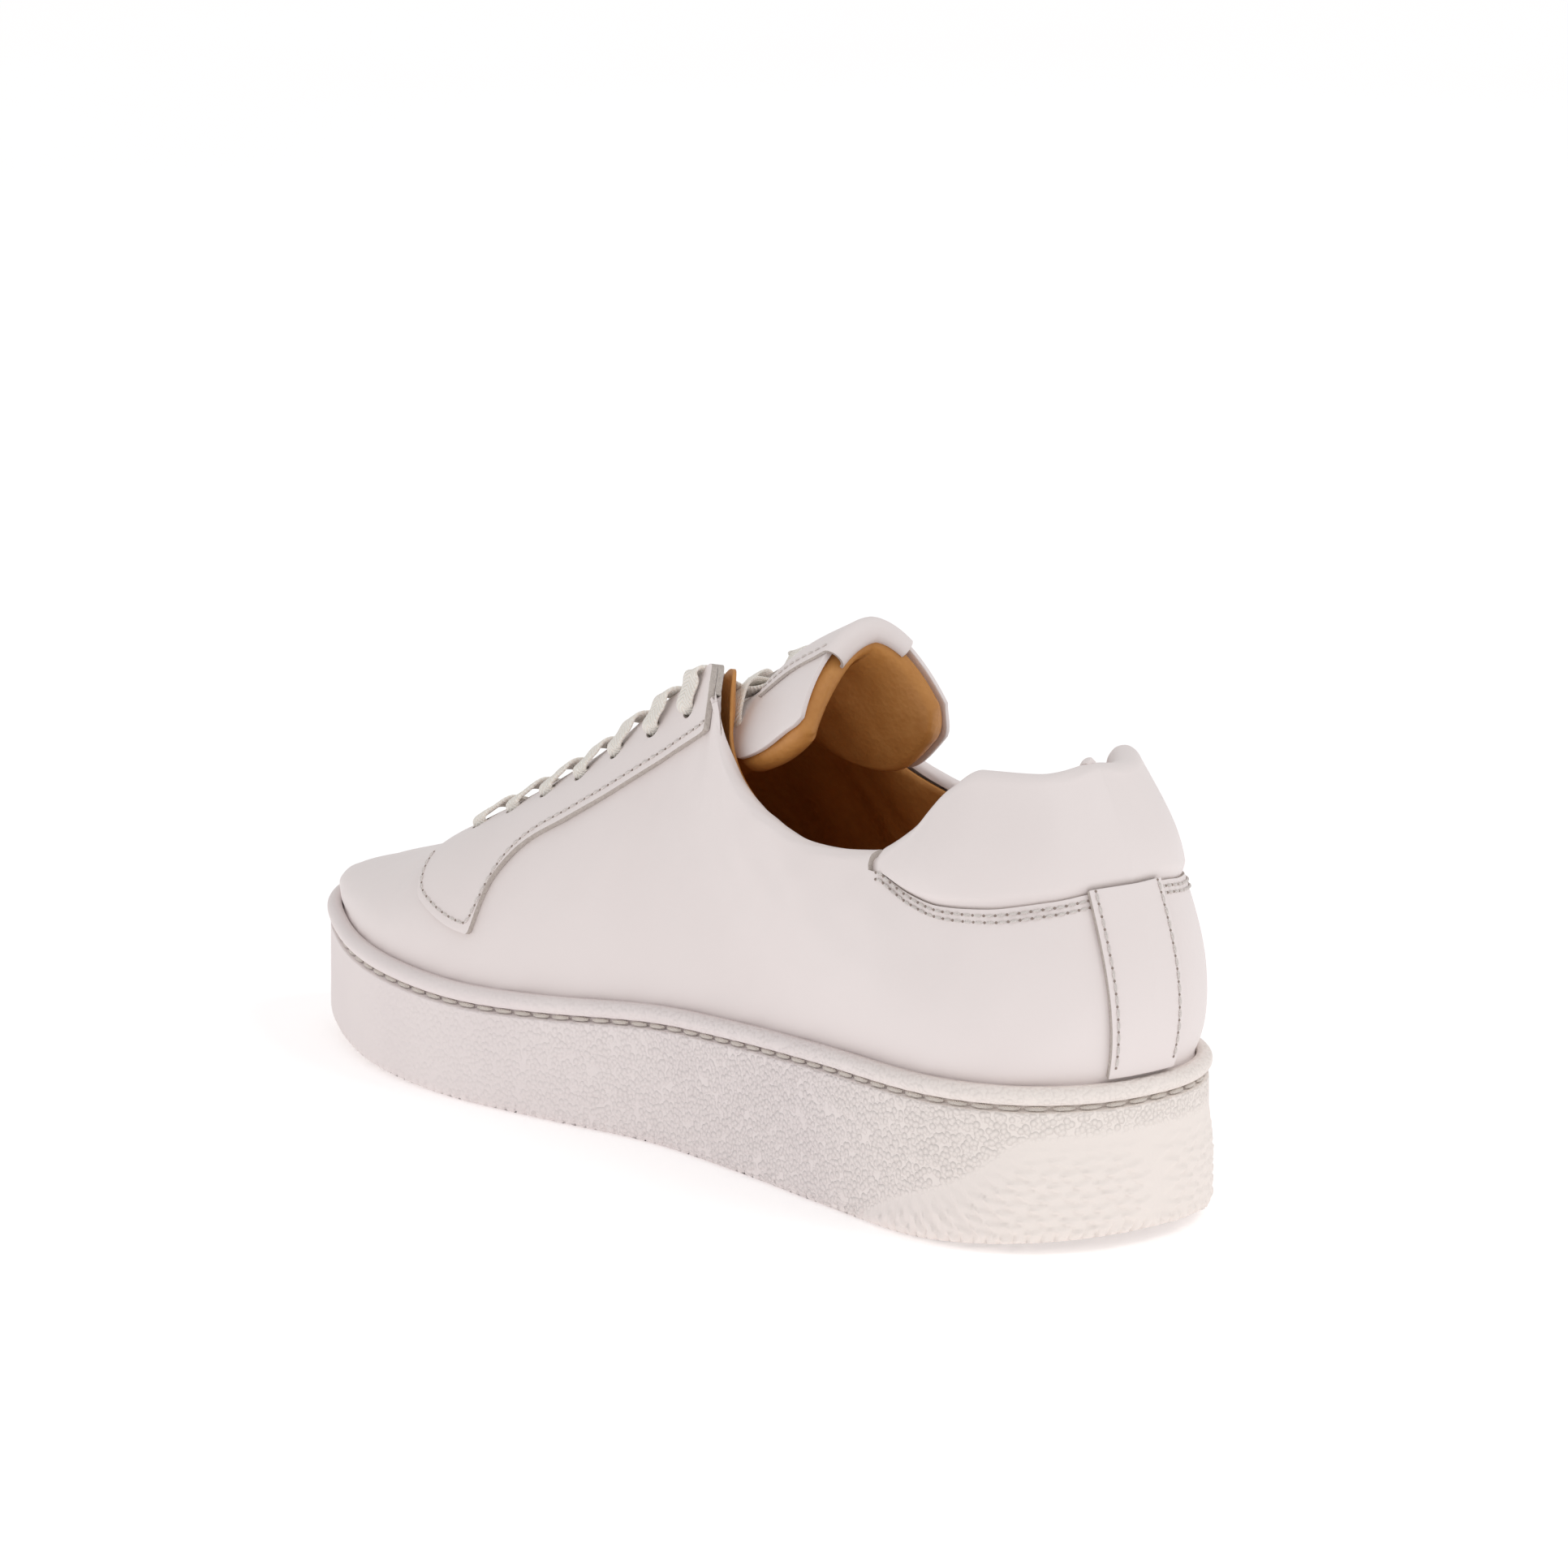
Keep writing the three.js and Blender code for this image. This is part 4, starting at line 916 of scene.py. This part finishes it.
# %% Backstay
BACKSTAY = {MEDIAL: 15 / PATTERN_RUN, LATERAL: 11 / PATTERN_RUN}
backstays = []
for side in (MEDIAL, LATERAL):
    k = np.linspace(0, BACKSTAY[side], 18)
    u = block(k, np.full_like(k, 0.02), seam_share(side, k) - 0.004, 70)
    kk = np.broadcast_to(k[None, :], u.shape)
    points = skin(side, kk, u) + skin_normal(side, kk, u) * 1.5
    backstays.append(piece("backstay_half", points, grid_faces(*u.shape, flip=(side == MEDIAL)),
                           [white_leather, raw_edge], np.stack([kk * PATTERN_RUN, u * 60], -1)))
backstay = joined(backstays, "backstay_strip", 0.0001)
thicken(backstay, 1.4, 0.2, rim=1)
fit_on(backstay, "shoe", "backstay")

# %% [markdown]
# ## The tongue
# The tongue is a leather shell over foam, with a tan leather back. It hangs from a seam at its base, so all
# of it rides on the tongue's body.
# A place on it is a share up its centre line and a share across.

# %% Tongue surface
tongue_points = [
    (97, 50.2), (80, 58.6), (62, 68), (40, 80.5), (20, 92.6), (0, 103.3), (-14, 112.6), (-28, 123.2), (-44, 131.3),
]
tongue_line = path_through([(x, 0, z) for x, z in tongue_points], 800)
tongue_width = height_curve([(0, 0.6), (0.2, 0.7), (0.5, 0.67), (0.68, 0.64)])
# How far each free edge is pulled back, out and down, at shares up the tongue.
NEAR_EDGE = [
    (0.66, -3.6, 16.5, -7.5), (0.76, -7, 20.0, -16.5), (0.86, -9.5, 22.6, -19), (0.95, -7, 24, -19.5),
    (1, -3, 23.5, -20),
]
FAR_EDGE = [
    (0.68, -3.6, -16, -6.3), (0.78, -11, -19.5, -22), (0.88, -14, -20, -30), (0.95, -14, -19.5, -27),
    (1, -9, -18, -21),
]
tongue_foam = height_curve([(0, 1.2), (0.3, 2), (0.6, 3.5), (0.85, 5.5), (1, 4.5)])
edge_drops = {
    side: [height_curve([(row[0], row[c]) for row in rows]) for c in (1, 2, 3)]
    for side, rows in ((MEDIAL, NEAR_EDGE), (LATERAL, FAR_EDGE))
}


def tongue_at(w, s):
    """A point of the tongue's outer face, and the way up it. Its sides are pulled back and down at the free top."""
    w, s = np.broadcast_arrays(np.asarray(w, float), np.asarray(s, float))
    grid = np.linspace(0, 1, 801)
    centre = np.stack([np.interp(s, grid, tongue_line[:, c]) for c in range(3)], -1)
    slope = np.gradient(tongue_line, axis=0)
    way = unit(np.stack([np.interp(s, grid, slope[:, c]) for c in range(3)], -1))
    out = np.stack([way[..., 2], np.zeros_like(s), -way[..., 0]], -1)
    reach = w * tongue_width(s)
    under_flap = -out * (17 * np.abs(reach) ** 1.9)[..., None]
    under_flap[..., 1] += reach * 25
    near, far = (np.stack([curve(s) for curve in edge_drops[side]], -1) for side in (MEDIAL, LATERAL))
    back, aside, down = np.moveaxis(np.where((w >= 0)[..., None], near, far), -1, 0)
    size = np.abs(w)
    free = np.stack([back * size**1.8, aside * (1.2 * size - 0.2 * size**3), down * size**1.8], -1)
    share = np.clip((s - 0.66) / 0.1, 0, 1)
    share = (share * share * (3 - 2 * share))[..., None]
    centre = centre + under_flap * (1 - share) + free * share
    centre[..., 1] += top_centre(0.78) * (1 - s) ** 3 - 3 * s**4
    return centre, way


def tongue_normal(w, s):
    w, s = np.broadcast_arrays(np.asarray(w, float), np.asarray(s, float))
    e = 0.01
    base = np.minimum(s, 1 - e)
    along = tongue_at(w, base + e)[0] - tongue_at(w, base)[0]
    across = tongue_at(w + e, s)[0] - tongue_at(w - e, s)[0]
    return unit(np.cross(across, along))


w, s = np.meshgrid(np.linspace(-1, 1, 48), np.linspace(0, 1, 130))
waves = 0.12 * np.sin(w * 5 + s * 21) * np.sin(s * 20) * (s > 0.3)
shell_points = tongue_at(w, s)[0] + tongue_normal(w, s) * waves[..., None]
shell = piece("tongue_leather", shell_points, grid_faces(*w.shape), [white_leather, raw_edge],
              np.stack([w * 25, s * 160], -1))
thicken(shell, 1.4, 0.2)
fit_on(shell, "tongue", "tongue_shell")

# %% [markdown]
# ## The tongue's padded back
# The back is a closed pad: flat against the shell, round along its sides and top, and pulled into soft
# folds on the foot's side.
# It is a tube of rows, so each row is one loop round the pad.

# %% Tongue pad
PAD_START = 1.75
front = np.linspace(-0.95, 1.0, 26)
turns = np.linspace(0, math.pi, 9)[1:-1]
heights = np.linspace(0.03, 1.0, 120)
pad_rows, uv_rows = [], []
for share in heights:
    thick = tongue_foam(share) + 1.3
    end = np.clip((1.0 - share) / 0.035, 0, 1)
    slim = math.sqrt(1 - (1 - end) ** 2)
    row = [(w, PAD_START) for w in front]
    row += [(1.0 + 0.07 * math.sin(a), PAD_START + thick * (1 - math.cos(a)) / 2) for a in turns]
    for w in front[::-1]:
        fold = 0.22 * math.sin(share * 64 + 2.2 * math.sin(w * 3)) + 0.3 * math.sin(share * 29 + w * 7)
        row.append((w, PAD_START + thick + fold * min(1, share * 2) * (1 - abs(w) ** 4)))
    row += [(-0.95 - 0.04 * math.sin(a), PAD_START + thick * (1 + math.cos(a)) / 2) for a in turns]
    across, deep = np.array(row).T
    middle = PAD_START + thick / 2
    deep = middle + (deep - middle) * (0.25 + 0.75 * slim)
    up = np.full_like(across, share)
    pad_rows.append(tongue_at(across, up)[0] - tongue_normal(np.clip(across, -1, 1), up) * deep[:, None])
    uv_rows.append(np.stack([np.arange(len(across)) * 1.0, up * 160], -1))
loop_size = len(pad_rows[0])
faces = grid_faces(len(heights), loop_size, close=True).tolist()
faces += [list(range(loop_size))[::-1], [(len(heights) - 1) * loop_size + i for i in range(loop_size)]]
pad = piece("tongue_pad", np.array(pad_rows), faces, [tan_leather], np.array(uv_rows), closed=True)
fit_on(pad, "tongue", "tongue_foam", "tongue_lining")

# %% Tongue patch, wrapped over the top edge
PATCH_HALF, PATCH_ROLL, PATCH_LIFT = 0.52, 3.3, 0.9
s = np.concatenate([np.linspace(0.79, 1.0, 44), np.full(12, 1.0)])
turn = np.concatenate([np.zeros(44), np.linspace(0.1, 1, 12)]) * math.pi
w, s = np.meshgrid(np.linspace(-PATCH_HALF, PATCH_HALF, 26), s)
turn = np.broadcast_to(turn[:, None], w.shape)
base, way = tongue_at(w, s)
normal = tongue_normal(w, s)
centre = base - normal * (PATCH_ROLL - PATCH_LIFT)
rolled = centre + normal * (PATCH_ROLL * np.cos(turn))[..., None] + way * (PATCH_ROLL * np.sin(turn) * 0.75)[..., None]
points = np.where((turn > 0)[..., None], rolled, base + normal * PATCH_LIFT)
patch = piece("tongue_patch_strip", points, grid_faces(*w.shape), [white_leather, raw_edge],
              np.stack([w * 25, s * 160 + turn * 3], -1))
thicken(patch, 0.9, 0.15, rim=1)
fit_on(patch, "tongue", "tongue_patch")

# %% [markdown]
# ## The lace
# The flat woven lace is held all the way: it rises out of one eyelet, crosses over the tongue, dives under
# the other flap and rises out of the next eyelet.
# Two such runs, one from each side, make the criss-cross. Each is one ribbon along a smooth path, pinched
# where it passes through a hole.

# %% The lace's path
def over_tongue(x, y, rise):
    """A point above the tongue, from how far forward and how far aside it is."""
    s = np.linspace(0, 1, 1200)
    share = s[np.abs(np.interp(s, np.linspace(0, 1, 801), tongue_line[:, 0]) - x).argmin()]
    w = y / (25 * float(tongue_width(share)))
    return tongue_at(w, share)[0] + tongue_normal(w, share) * rise


def off(eyelet, height):
    return eyelet["p"] + eyelet["n"] * height


def to_throat(side, eyelet):
    return unit(skin(side, eyelet["k"], 1.0) - eyelet["p"])


def lace_run(first_side):
    """The points that one run passes from the first eyelet to the seventh, and its width at each."""
    path, widths = [], []

    def stop(point, width):
        path.append(np.asarray(point, float).reshape(3))
        widths.append(width)

    for i in range(6):
        side = first_side if i % 2 == 0 else -first_side
        here, there = eyelets[side, i], eyelets[-side, i + 1]
        inside = float(lining_depth(here["k"], here["t"])) + 2.0
        if i == 0:
            stop(off(here, -inside - 0.2) - to_throat(side, here) * 3, 5.5)
        stop(off(here, 1.2 - inside), 4.3)
        stop(off(here, 0.4), 4.6)
        stop(off(here, 2.6) + to_throat(side, here) * 0.3, 5.4)
        lip = skin(side, mixed(here["k"], there["k"], 0.08), 1.0) + skin_normal(side, here["k"], 0.97) * 3.4
        stop(mixed(off(here, 3.4), lip, 0.5), 7.0)
        stop(lip, 7.2)
        lift = 1.3 if side == MEDIAL else 2.7
        over = ((0.5, 0, lift, 7.4), (0.62, -6.5, lift * 0.6 + 0.5, 7.4), (0.72, -11, 1.0, 7.0))
        for share, aside, rise, width in over:
            stop(over_tongue(mixed(here["p"][0], there["p"][0], share), side * aside, rise), width)
        beneath = float(lining_depth(there["k"], there["t"])) + 1.7
        stop(off(there, -beneath) + to_throat(-side, there) * 2.6, 6.4)
    last = eyelets[first_side, 6]
    stop(off(last, -5.3), 4.3)
    stop(off(last, 0.4), 4.6)
    stop(off(last, 2.6) + to_throat(first_side, last) * 0.3, 5.4)
    lip = skin(first_side, last["k"] - 0.004, 1.0) + skin_normal(first_side, last["k"], 0.97) * 3.2
    stop(mixed(off(last, 3.3), lip, 0.6), 6.4)
    stop(lip, 7.2)
    lift = 2.0 if first_side == MEDIAL else 3.4
    tucked = (
        (-5, 5, lift, 7.4), (-7, -4, lift, 7.4), (-9, -10.5, 1.4, 7.2), (-8, -14.5, -1.6, 6.8), (-2, -14.0, -4.6, 6.4),
    )
    for forward, aside, rise, width in tucked:
        stop(over_tongue(last["p"][0] + forward, first_side * aside, rise), width)
    return np.array(path), np.array(widths)

# %% The lace's ribbons
def ribbon(name, path, widths):
    """A flat tube along a path. It narrows and thickens where it is pinched in a hole."""
    count = len(path) * 12
    spots = path_through(path, count)
    wide = np.interp(np.linspace(0, len(path) - 1, count + 1), np.arange(len(path)), widths)
    way = unit(np.gradient(spots, axis=0))
    lead = unit(np.array([-1.0, 0.0, 0.62]))
    across = unit(lead - way * (way @ lead)[:, None])
    for _ in range(6):
        across[1:-1] = unit(across[:-2] + across[1:-1] + across[2:])
        across = unit(across - way * (way * across).sum(1, keepdims=True))
    up = np.cross(way, across)
    corner = [(-0.5, 0), (-0.46, 0.34), (-0.3, 0.5), (0, 0.56), (0.3, 0.5), (0.46, 0.34), (0.5, 0),
              (0.46, -0.34), (0.3, -0.5), (0, -0.56), (-0.3, -0.5), (-0.46, -0.34)]
    bulk = 1.05 * np.interp(wide, [4, 7], [1.9, 1.0])
    points = np.stack([spots + across * (a * wide)[:, None] + up * (b * bulk)[:, None] for a, b in corner], 1)
    run = np.concatenate([[0], np.cumsum(np.linalg.norm(np.diff(spots, axis=0), axis=1))])
    uvs = np.stack([np.repeat(run[:, None], 12, 1), np.repeat([[a * 7.2 for a, _ in corner]], len(run), 0)], -1)
    faces = grid_faces(len(spots), 12, close=True).tolist()
    faces += [list(range(12))[::-1], [(len(spots) - 1) * 12 + i for i in range(12)]]
    print("path of", name, round(float(run[-1])), "mm long")
    made = piece(name, points, faces, [lace_cotton], uvs, closed=True)
    fit_on(made, "shoe", "lace")


ribbon("lace_run_one", *lace_run(MEDIAL))
ribbon("lace_run_two", *lace_run(LATERAL))
first_bar = [over_tongue(76, y, 1.1) for y in (8, 0, -8)]
first_bar = [off(eyelets[MEDIAL, 0], -5.6), *first_bar, off(eyelets[LATERAL, 0], -5.6)]
ribbon("lace_first_bar", np.array(first_bar), np.array([5.5, 7, 7.2, 7, 5.5]))

# %% [markdown]
# ## Stitches
# A stitch is a short, fat capsule that dips into a needle hole at each end, and each hole is a dark dot of
# painted shade. One capsule is modelled from a small sphere, and a row of copies is laid along a path of points
# on the leather.
# The copies become one mesh, and each has only a few dozen faces, because there are hundreds of them.

# %% One stitch, modelled once
def model_stitch():
    bpy.ops.object.select_all(action="DESELECT")
    bpy.ops.mesh.primitive_uv_sphere_add(segments=8, ring_count=5, radius=1, rotation=(0, math.pi / 2, 0))
    made = bpy.context.active_object
    bpy.ops.object.transform_apply(location=True, rotation=True, scale=True)
    points = np.array([v.co[:] for v in made.data.vertices])
    faces = [list(p.vertices) for p in made.data.polygons]
    bpy.data.objects.remove(made)
    return points, faces


stitch_points, stitch_faces = model_stitch()


def laid(shape, middle, way, normal):
    """The points of a shape, turned to lie along way with its top along normal."""
    return middle + way * shape[:, :1] + np.cross(normal, way) * shape[:, 1:2] + normal * shape[:, 2:3]


def stitch_row(name, path, normals, pitch, length, width, proud, finish, dots=None):
    """Copies of the stitch along a path, and needle holes between them as dark dots of painted shade."""
    run = np.concatenate([[0], np.cumsum(np.linalg.norm(np.diff(path, axis=0), axis=1))])
    count = max(1, int(round(run[-1] / pitch)))
    step = run[-1] / count
    at = lambda q, values: np.stack([np.interp(q, run, values[:, c]) for c in range(3)], -1)

    def copies(shape, spots, reach, sink):
        made = [laid(shape, at(q, path) - unit(at(q, normals)) * sink, unit(at(q + reach, path) - at(q - reach, path)),
                     unit(at(q, normals))) for q in spots]
        faces = [[v + i * len(shape) for v in face] for i in range(len(spots)) for face in stitch_faces]
        return np.concatenate(made), faces

    x, y, z = stitch_points.T
    lift = z * width * 0.42 + proud * (1 - np.abs(x) ** 2.2) - proud * 0.45
    stitch = np.stack([np.sign(x) * np.abs(x) ** 0.75 * length / 2, y * width / 2, lift], -1)
    points, faces = copies(stitch, (np.arange(count) + 0.5) * step, length / 2, 0)
    uvs = np.tile(np.stack([x * length / 2, y], -1), (count, 1))
    made = piece(name, points, faces, [finish], uvs, closed=True)
    if dots:
        # Each needle hole is a flat dark dot: its colour is painted shade.
        shape = stitch_points * np.array([dots, dots, dots * 0.55])
        points, faces = copies(shape, np.arange(count + 1) * step, 0.3, 0.02)
        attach(piece(name + "_holes", points, faces, [painted_needle_hole_shade], closed=True), "shoe")
    return made


def leather_row(name, path, normals, pitch=3.0, length=2.3):
    """The seam of the white leather: fine thread with its needle holes, painted as dark dots of shade."""
    made = stitch_row(name, path, normals, pitch, length, 0.75, 0.34, white_thread, dots=0.34)
    fit_on(made, "shoe")


def surface_path(side, k, t, lift):
    normal = skin_normal(side, k, t)
    return skin(side, k, t) + normal * lift, normal

# %% Stitches in the sole's groove
k = np.linspace(0, 1, 500)
route = np.concatenate([edge(MEDIAL, k, 1.95), edge(LATERAL, k, 1.95)[::-1]])
route = np.column_stack([route, rim_top(route[:, 0]) - GROOVE])
facing = {side: unit(edge(side, k, 0.0) - edge(side, k, 3.0)) for side in (MEDIAL, LATERAL)}
facing = np.concatenate([facing[MEDIAL], facing[LATERAL][::-1]])
facing = np.column_stack([facing, np.zeros(len(facing))])
sole_row = stitch_row("sole_stitch_row", route, facing, 6.4, 5.7, 1.15, 0.4, sole_thread)
fit_on(sole_row, "shoe", "sole_stitching")

# %% Stitches in the leather
for side, word in ((MEDIAL, "inner"), (LATERAL, "outer")):
    k = np.linspace(0.002, 0.205, 260)
    keep = k > BACKSTAY[side]
    for row, drop in enumerate((2.3, 3.8)):
        path, normal = surface_path(side, k, at_height(side, k, seam_height(k) - drop), 0.12)
        leather_row(f"collar_seam_{word}_{row}", path[keep], normal[keep], 2.75, 2.05)
    k = np.linspace(0.462, 0.775, 400)
    low = at_height(side, k, eyestay_edge(k))
    rib = np.linalg.norm(skin(side, k, 1.0) - skin(side, k, low), axis=1)
    t = np.minimum(low + (1 - low) * np.clip(2.1 / np.maximum(rib, 3), 0, 0.5), 0.97)
    smooth = np.convolve(np.pad(t, 8, mode="edge"), np.ones(17) / 17, "valid")
    path, normal = surface_path(side, k, smooth, 1.66)
    leather_row("eyestay_seam_" + word, path[6:-6], normal[6:-6])
    inward = BACKSTAY[side] - 1.9 / PATTERN_RUN
    high = float(seam_share(side, np.array([inward]))[0])
    t = 0.03 + np.linspace(0.05, 1, 90) * (high - 0.04)
    leather_row("backstay_seam_" + word, *surface_path(side, np.full(90, inward), t, 1.58))
    s = np.linspace(0.795, 1.0, 60)
    w = np.full(60, side * PATCH_HALF * 0.86)
    normal = tongue_normal(w, s)
    path = tongue_at(w, s)[0] + normal
    patch_row = stitch_row("patch_seam_" + word, path, normal, 2.6, 2.0, 0.55, 0.25, white_thread)
    fit_on(patch_row, "tongue")

# %% [markdown]
# ## The footbed and the layers inside
# The tan footbed is the floor that the foot stands on, slightly raised round its edge. The layers under it
# stay as in the CAD model and only get their finishes.

# %% Footbed
k = np.linspace(0, 1, 120)
order = [(MEDIAL, q) for q in k] + [(LATERAL, q) for q in k[-2:0:-1]]
bed_rows = []
BED_LAYERS = 0.35 + 1.6 + 0.35 + 4.5 + 0.35
for inset, rise in ((9.6, -0.1), (9.3, 0.45), (9.8, 0.95), (10.8, 1.1), (14, 0.85), (19, 0.7), (26, 0.6)):
    made = np.array([edge(s, q, float(inset)) for s, q in order])
    level = rim_top(made[:, 0]) - 12 + BED_LAYERS
    bed_rows.append(np.column_stack([made, level + rise]))
around_bed, rows = len(order), len(bed_rows)
faces = grid_faces(rows, around_bed, close=True).tolist()
faces += cap_faces(len(k), 0, around_bed, True) + cap_faces(len(k), (rows - 1) * around_bed, around_bed, False)
footbed = piece("footbed_leather", np.array(bed_rows), faces, [tan_leather], closed=True)
fit_on(footbed, "shoe", "footbed_cover")

# %% Finishes of the CAD nodes that stay
kept = {
    "midsole_cushion": foam, "insole_board": fibreboard, "footbed_foam": foam,
    "heel_counter": stiffener, "toe_puff": stiffener,
}
for node, finish in kept.items():
    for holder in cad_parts[node].material_slots:
        holder.material = finish.material
print("kept CAD nodes:", ", ".join(kept))

# %% [markdown]
# ## Studio
# A plain pale floor, a white surround and two large soft lamps. The brighter one stands on the camera's side.

# %% Floor, surround and lamps
bpy.ops.object.select_all(action="DESELECT")
bpy.ops.mesh.primitive_plane_add(size=24, location=(0, 0, -0.0004))
floor = bpy.context.active_object
floor.name = floor.data.name = "studio_floor"
bpy.ops.object.transform_apply(location=True, rotation=True, scale=True)
paper = Finish("floor_paper", roughness=0.9, specular=0.0)
paper.colour(paper.mix(paper.noise(0.4, 1), paint(253, 251, 251), paint(255, 254, 254)))
paper.shader.inputs["Emission Color"].default_value = (1.0, 0.985, 0.985, 1.0)
paper.shader.inputs["Emission Strength"].default_value = 0.3
floor.data.materials.append(paper.material)

world = bpy.data.worlds.new("studio")
bpy.context.scene.world = world
world.use_nodes = True
world.node_tree.nodes["Background"].inputs["Color"].default_value = (1, 1, 1, 1)
world.node_tree.nodes["Background"].inputs["Strength"].default_value = 0.70


def lamp(name, place, target, size, power):
    made = bpy.data.objects.new(name, bpy.data.lights.new(name, "AREA"))
    bpy.context.collection.objects.link(made)
    made.data.shape = "DISK"
    made.data.size = size
    made.data.energy = power
    made.location = place
    made.rotation_mode = "QUATERNION"
    made.rotation_quaternion = (Vector(target) - Vector(place)).to_track_quat("-Z", "Y")


lamp("key_lamp", (-1.5, -0.5, 1.9), (0, 0, 0.05), 0.8, 7)
lamp("side_lamp", (0.3, 2.4, 1.0), (0, 0, 0.05), 1.6, 2)
bpy.context.scene.view_settings.view_transform = "Standard"
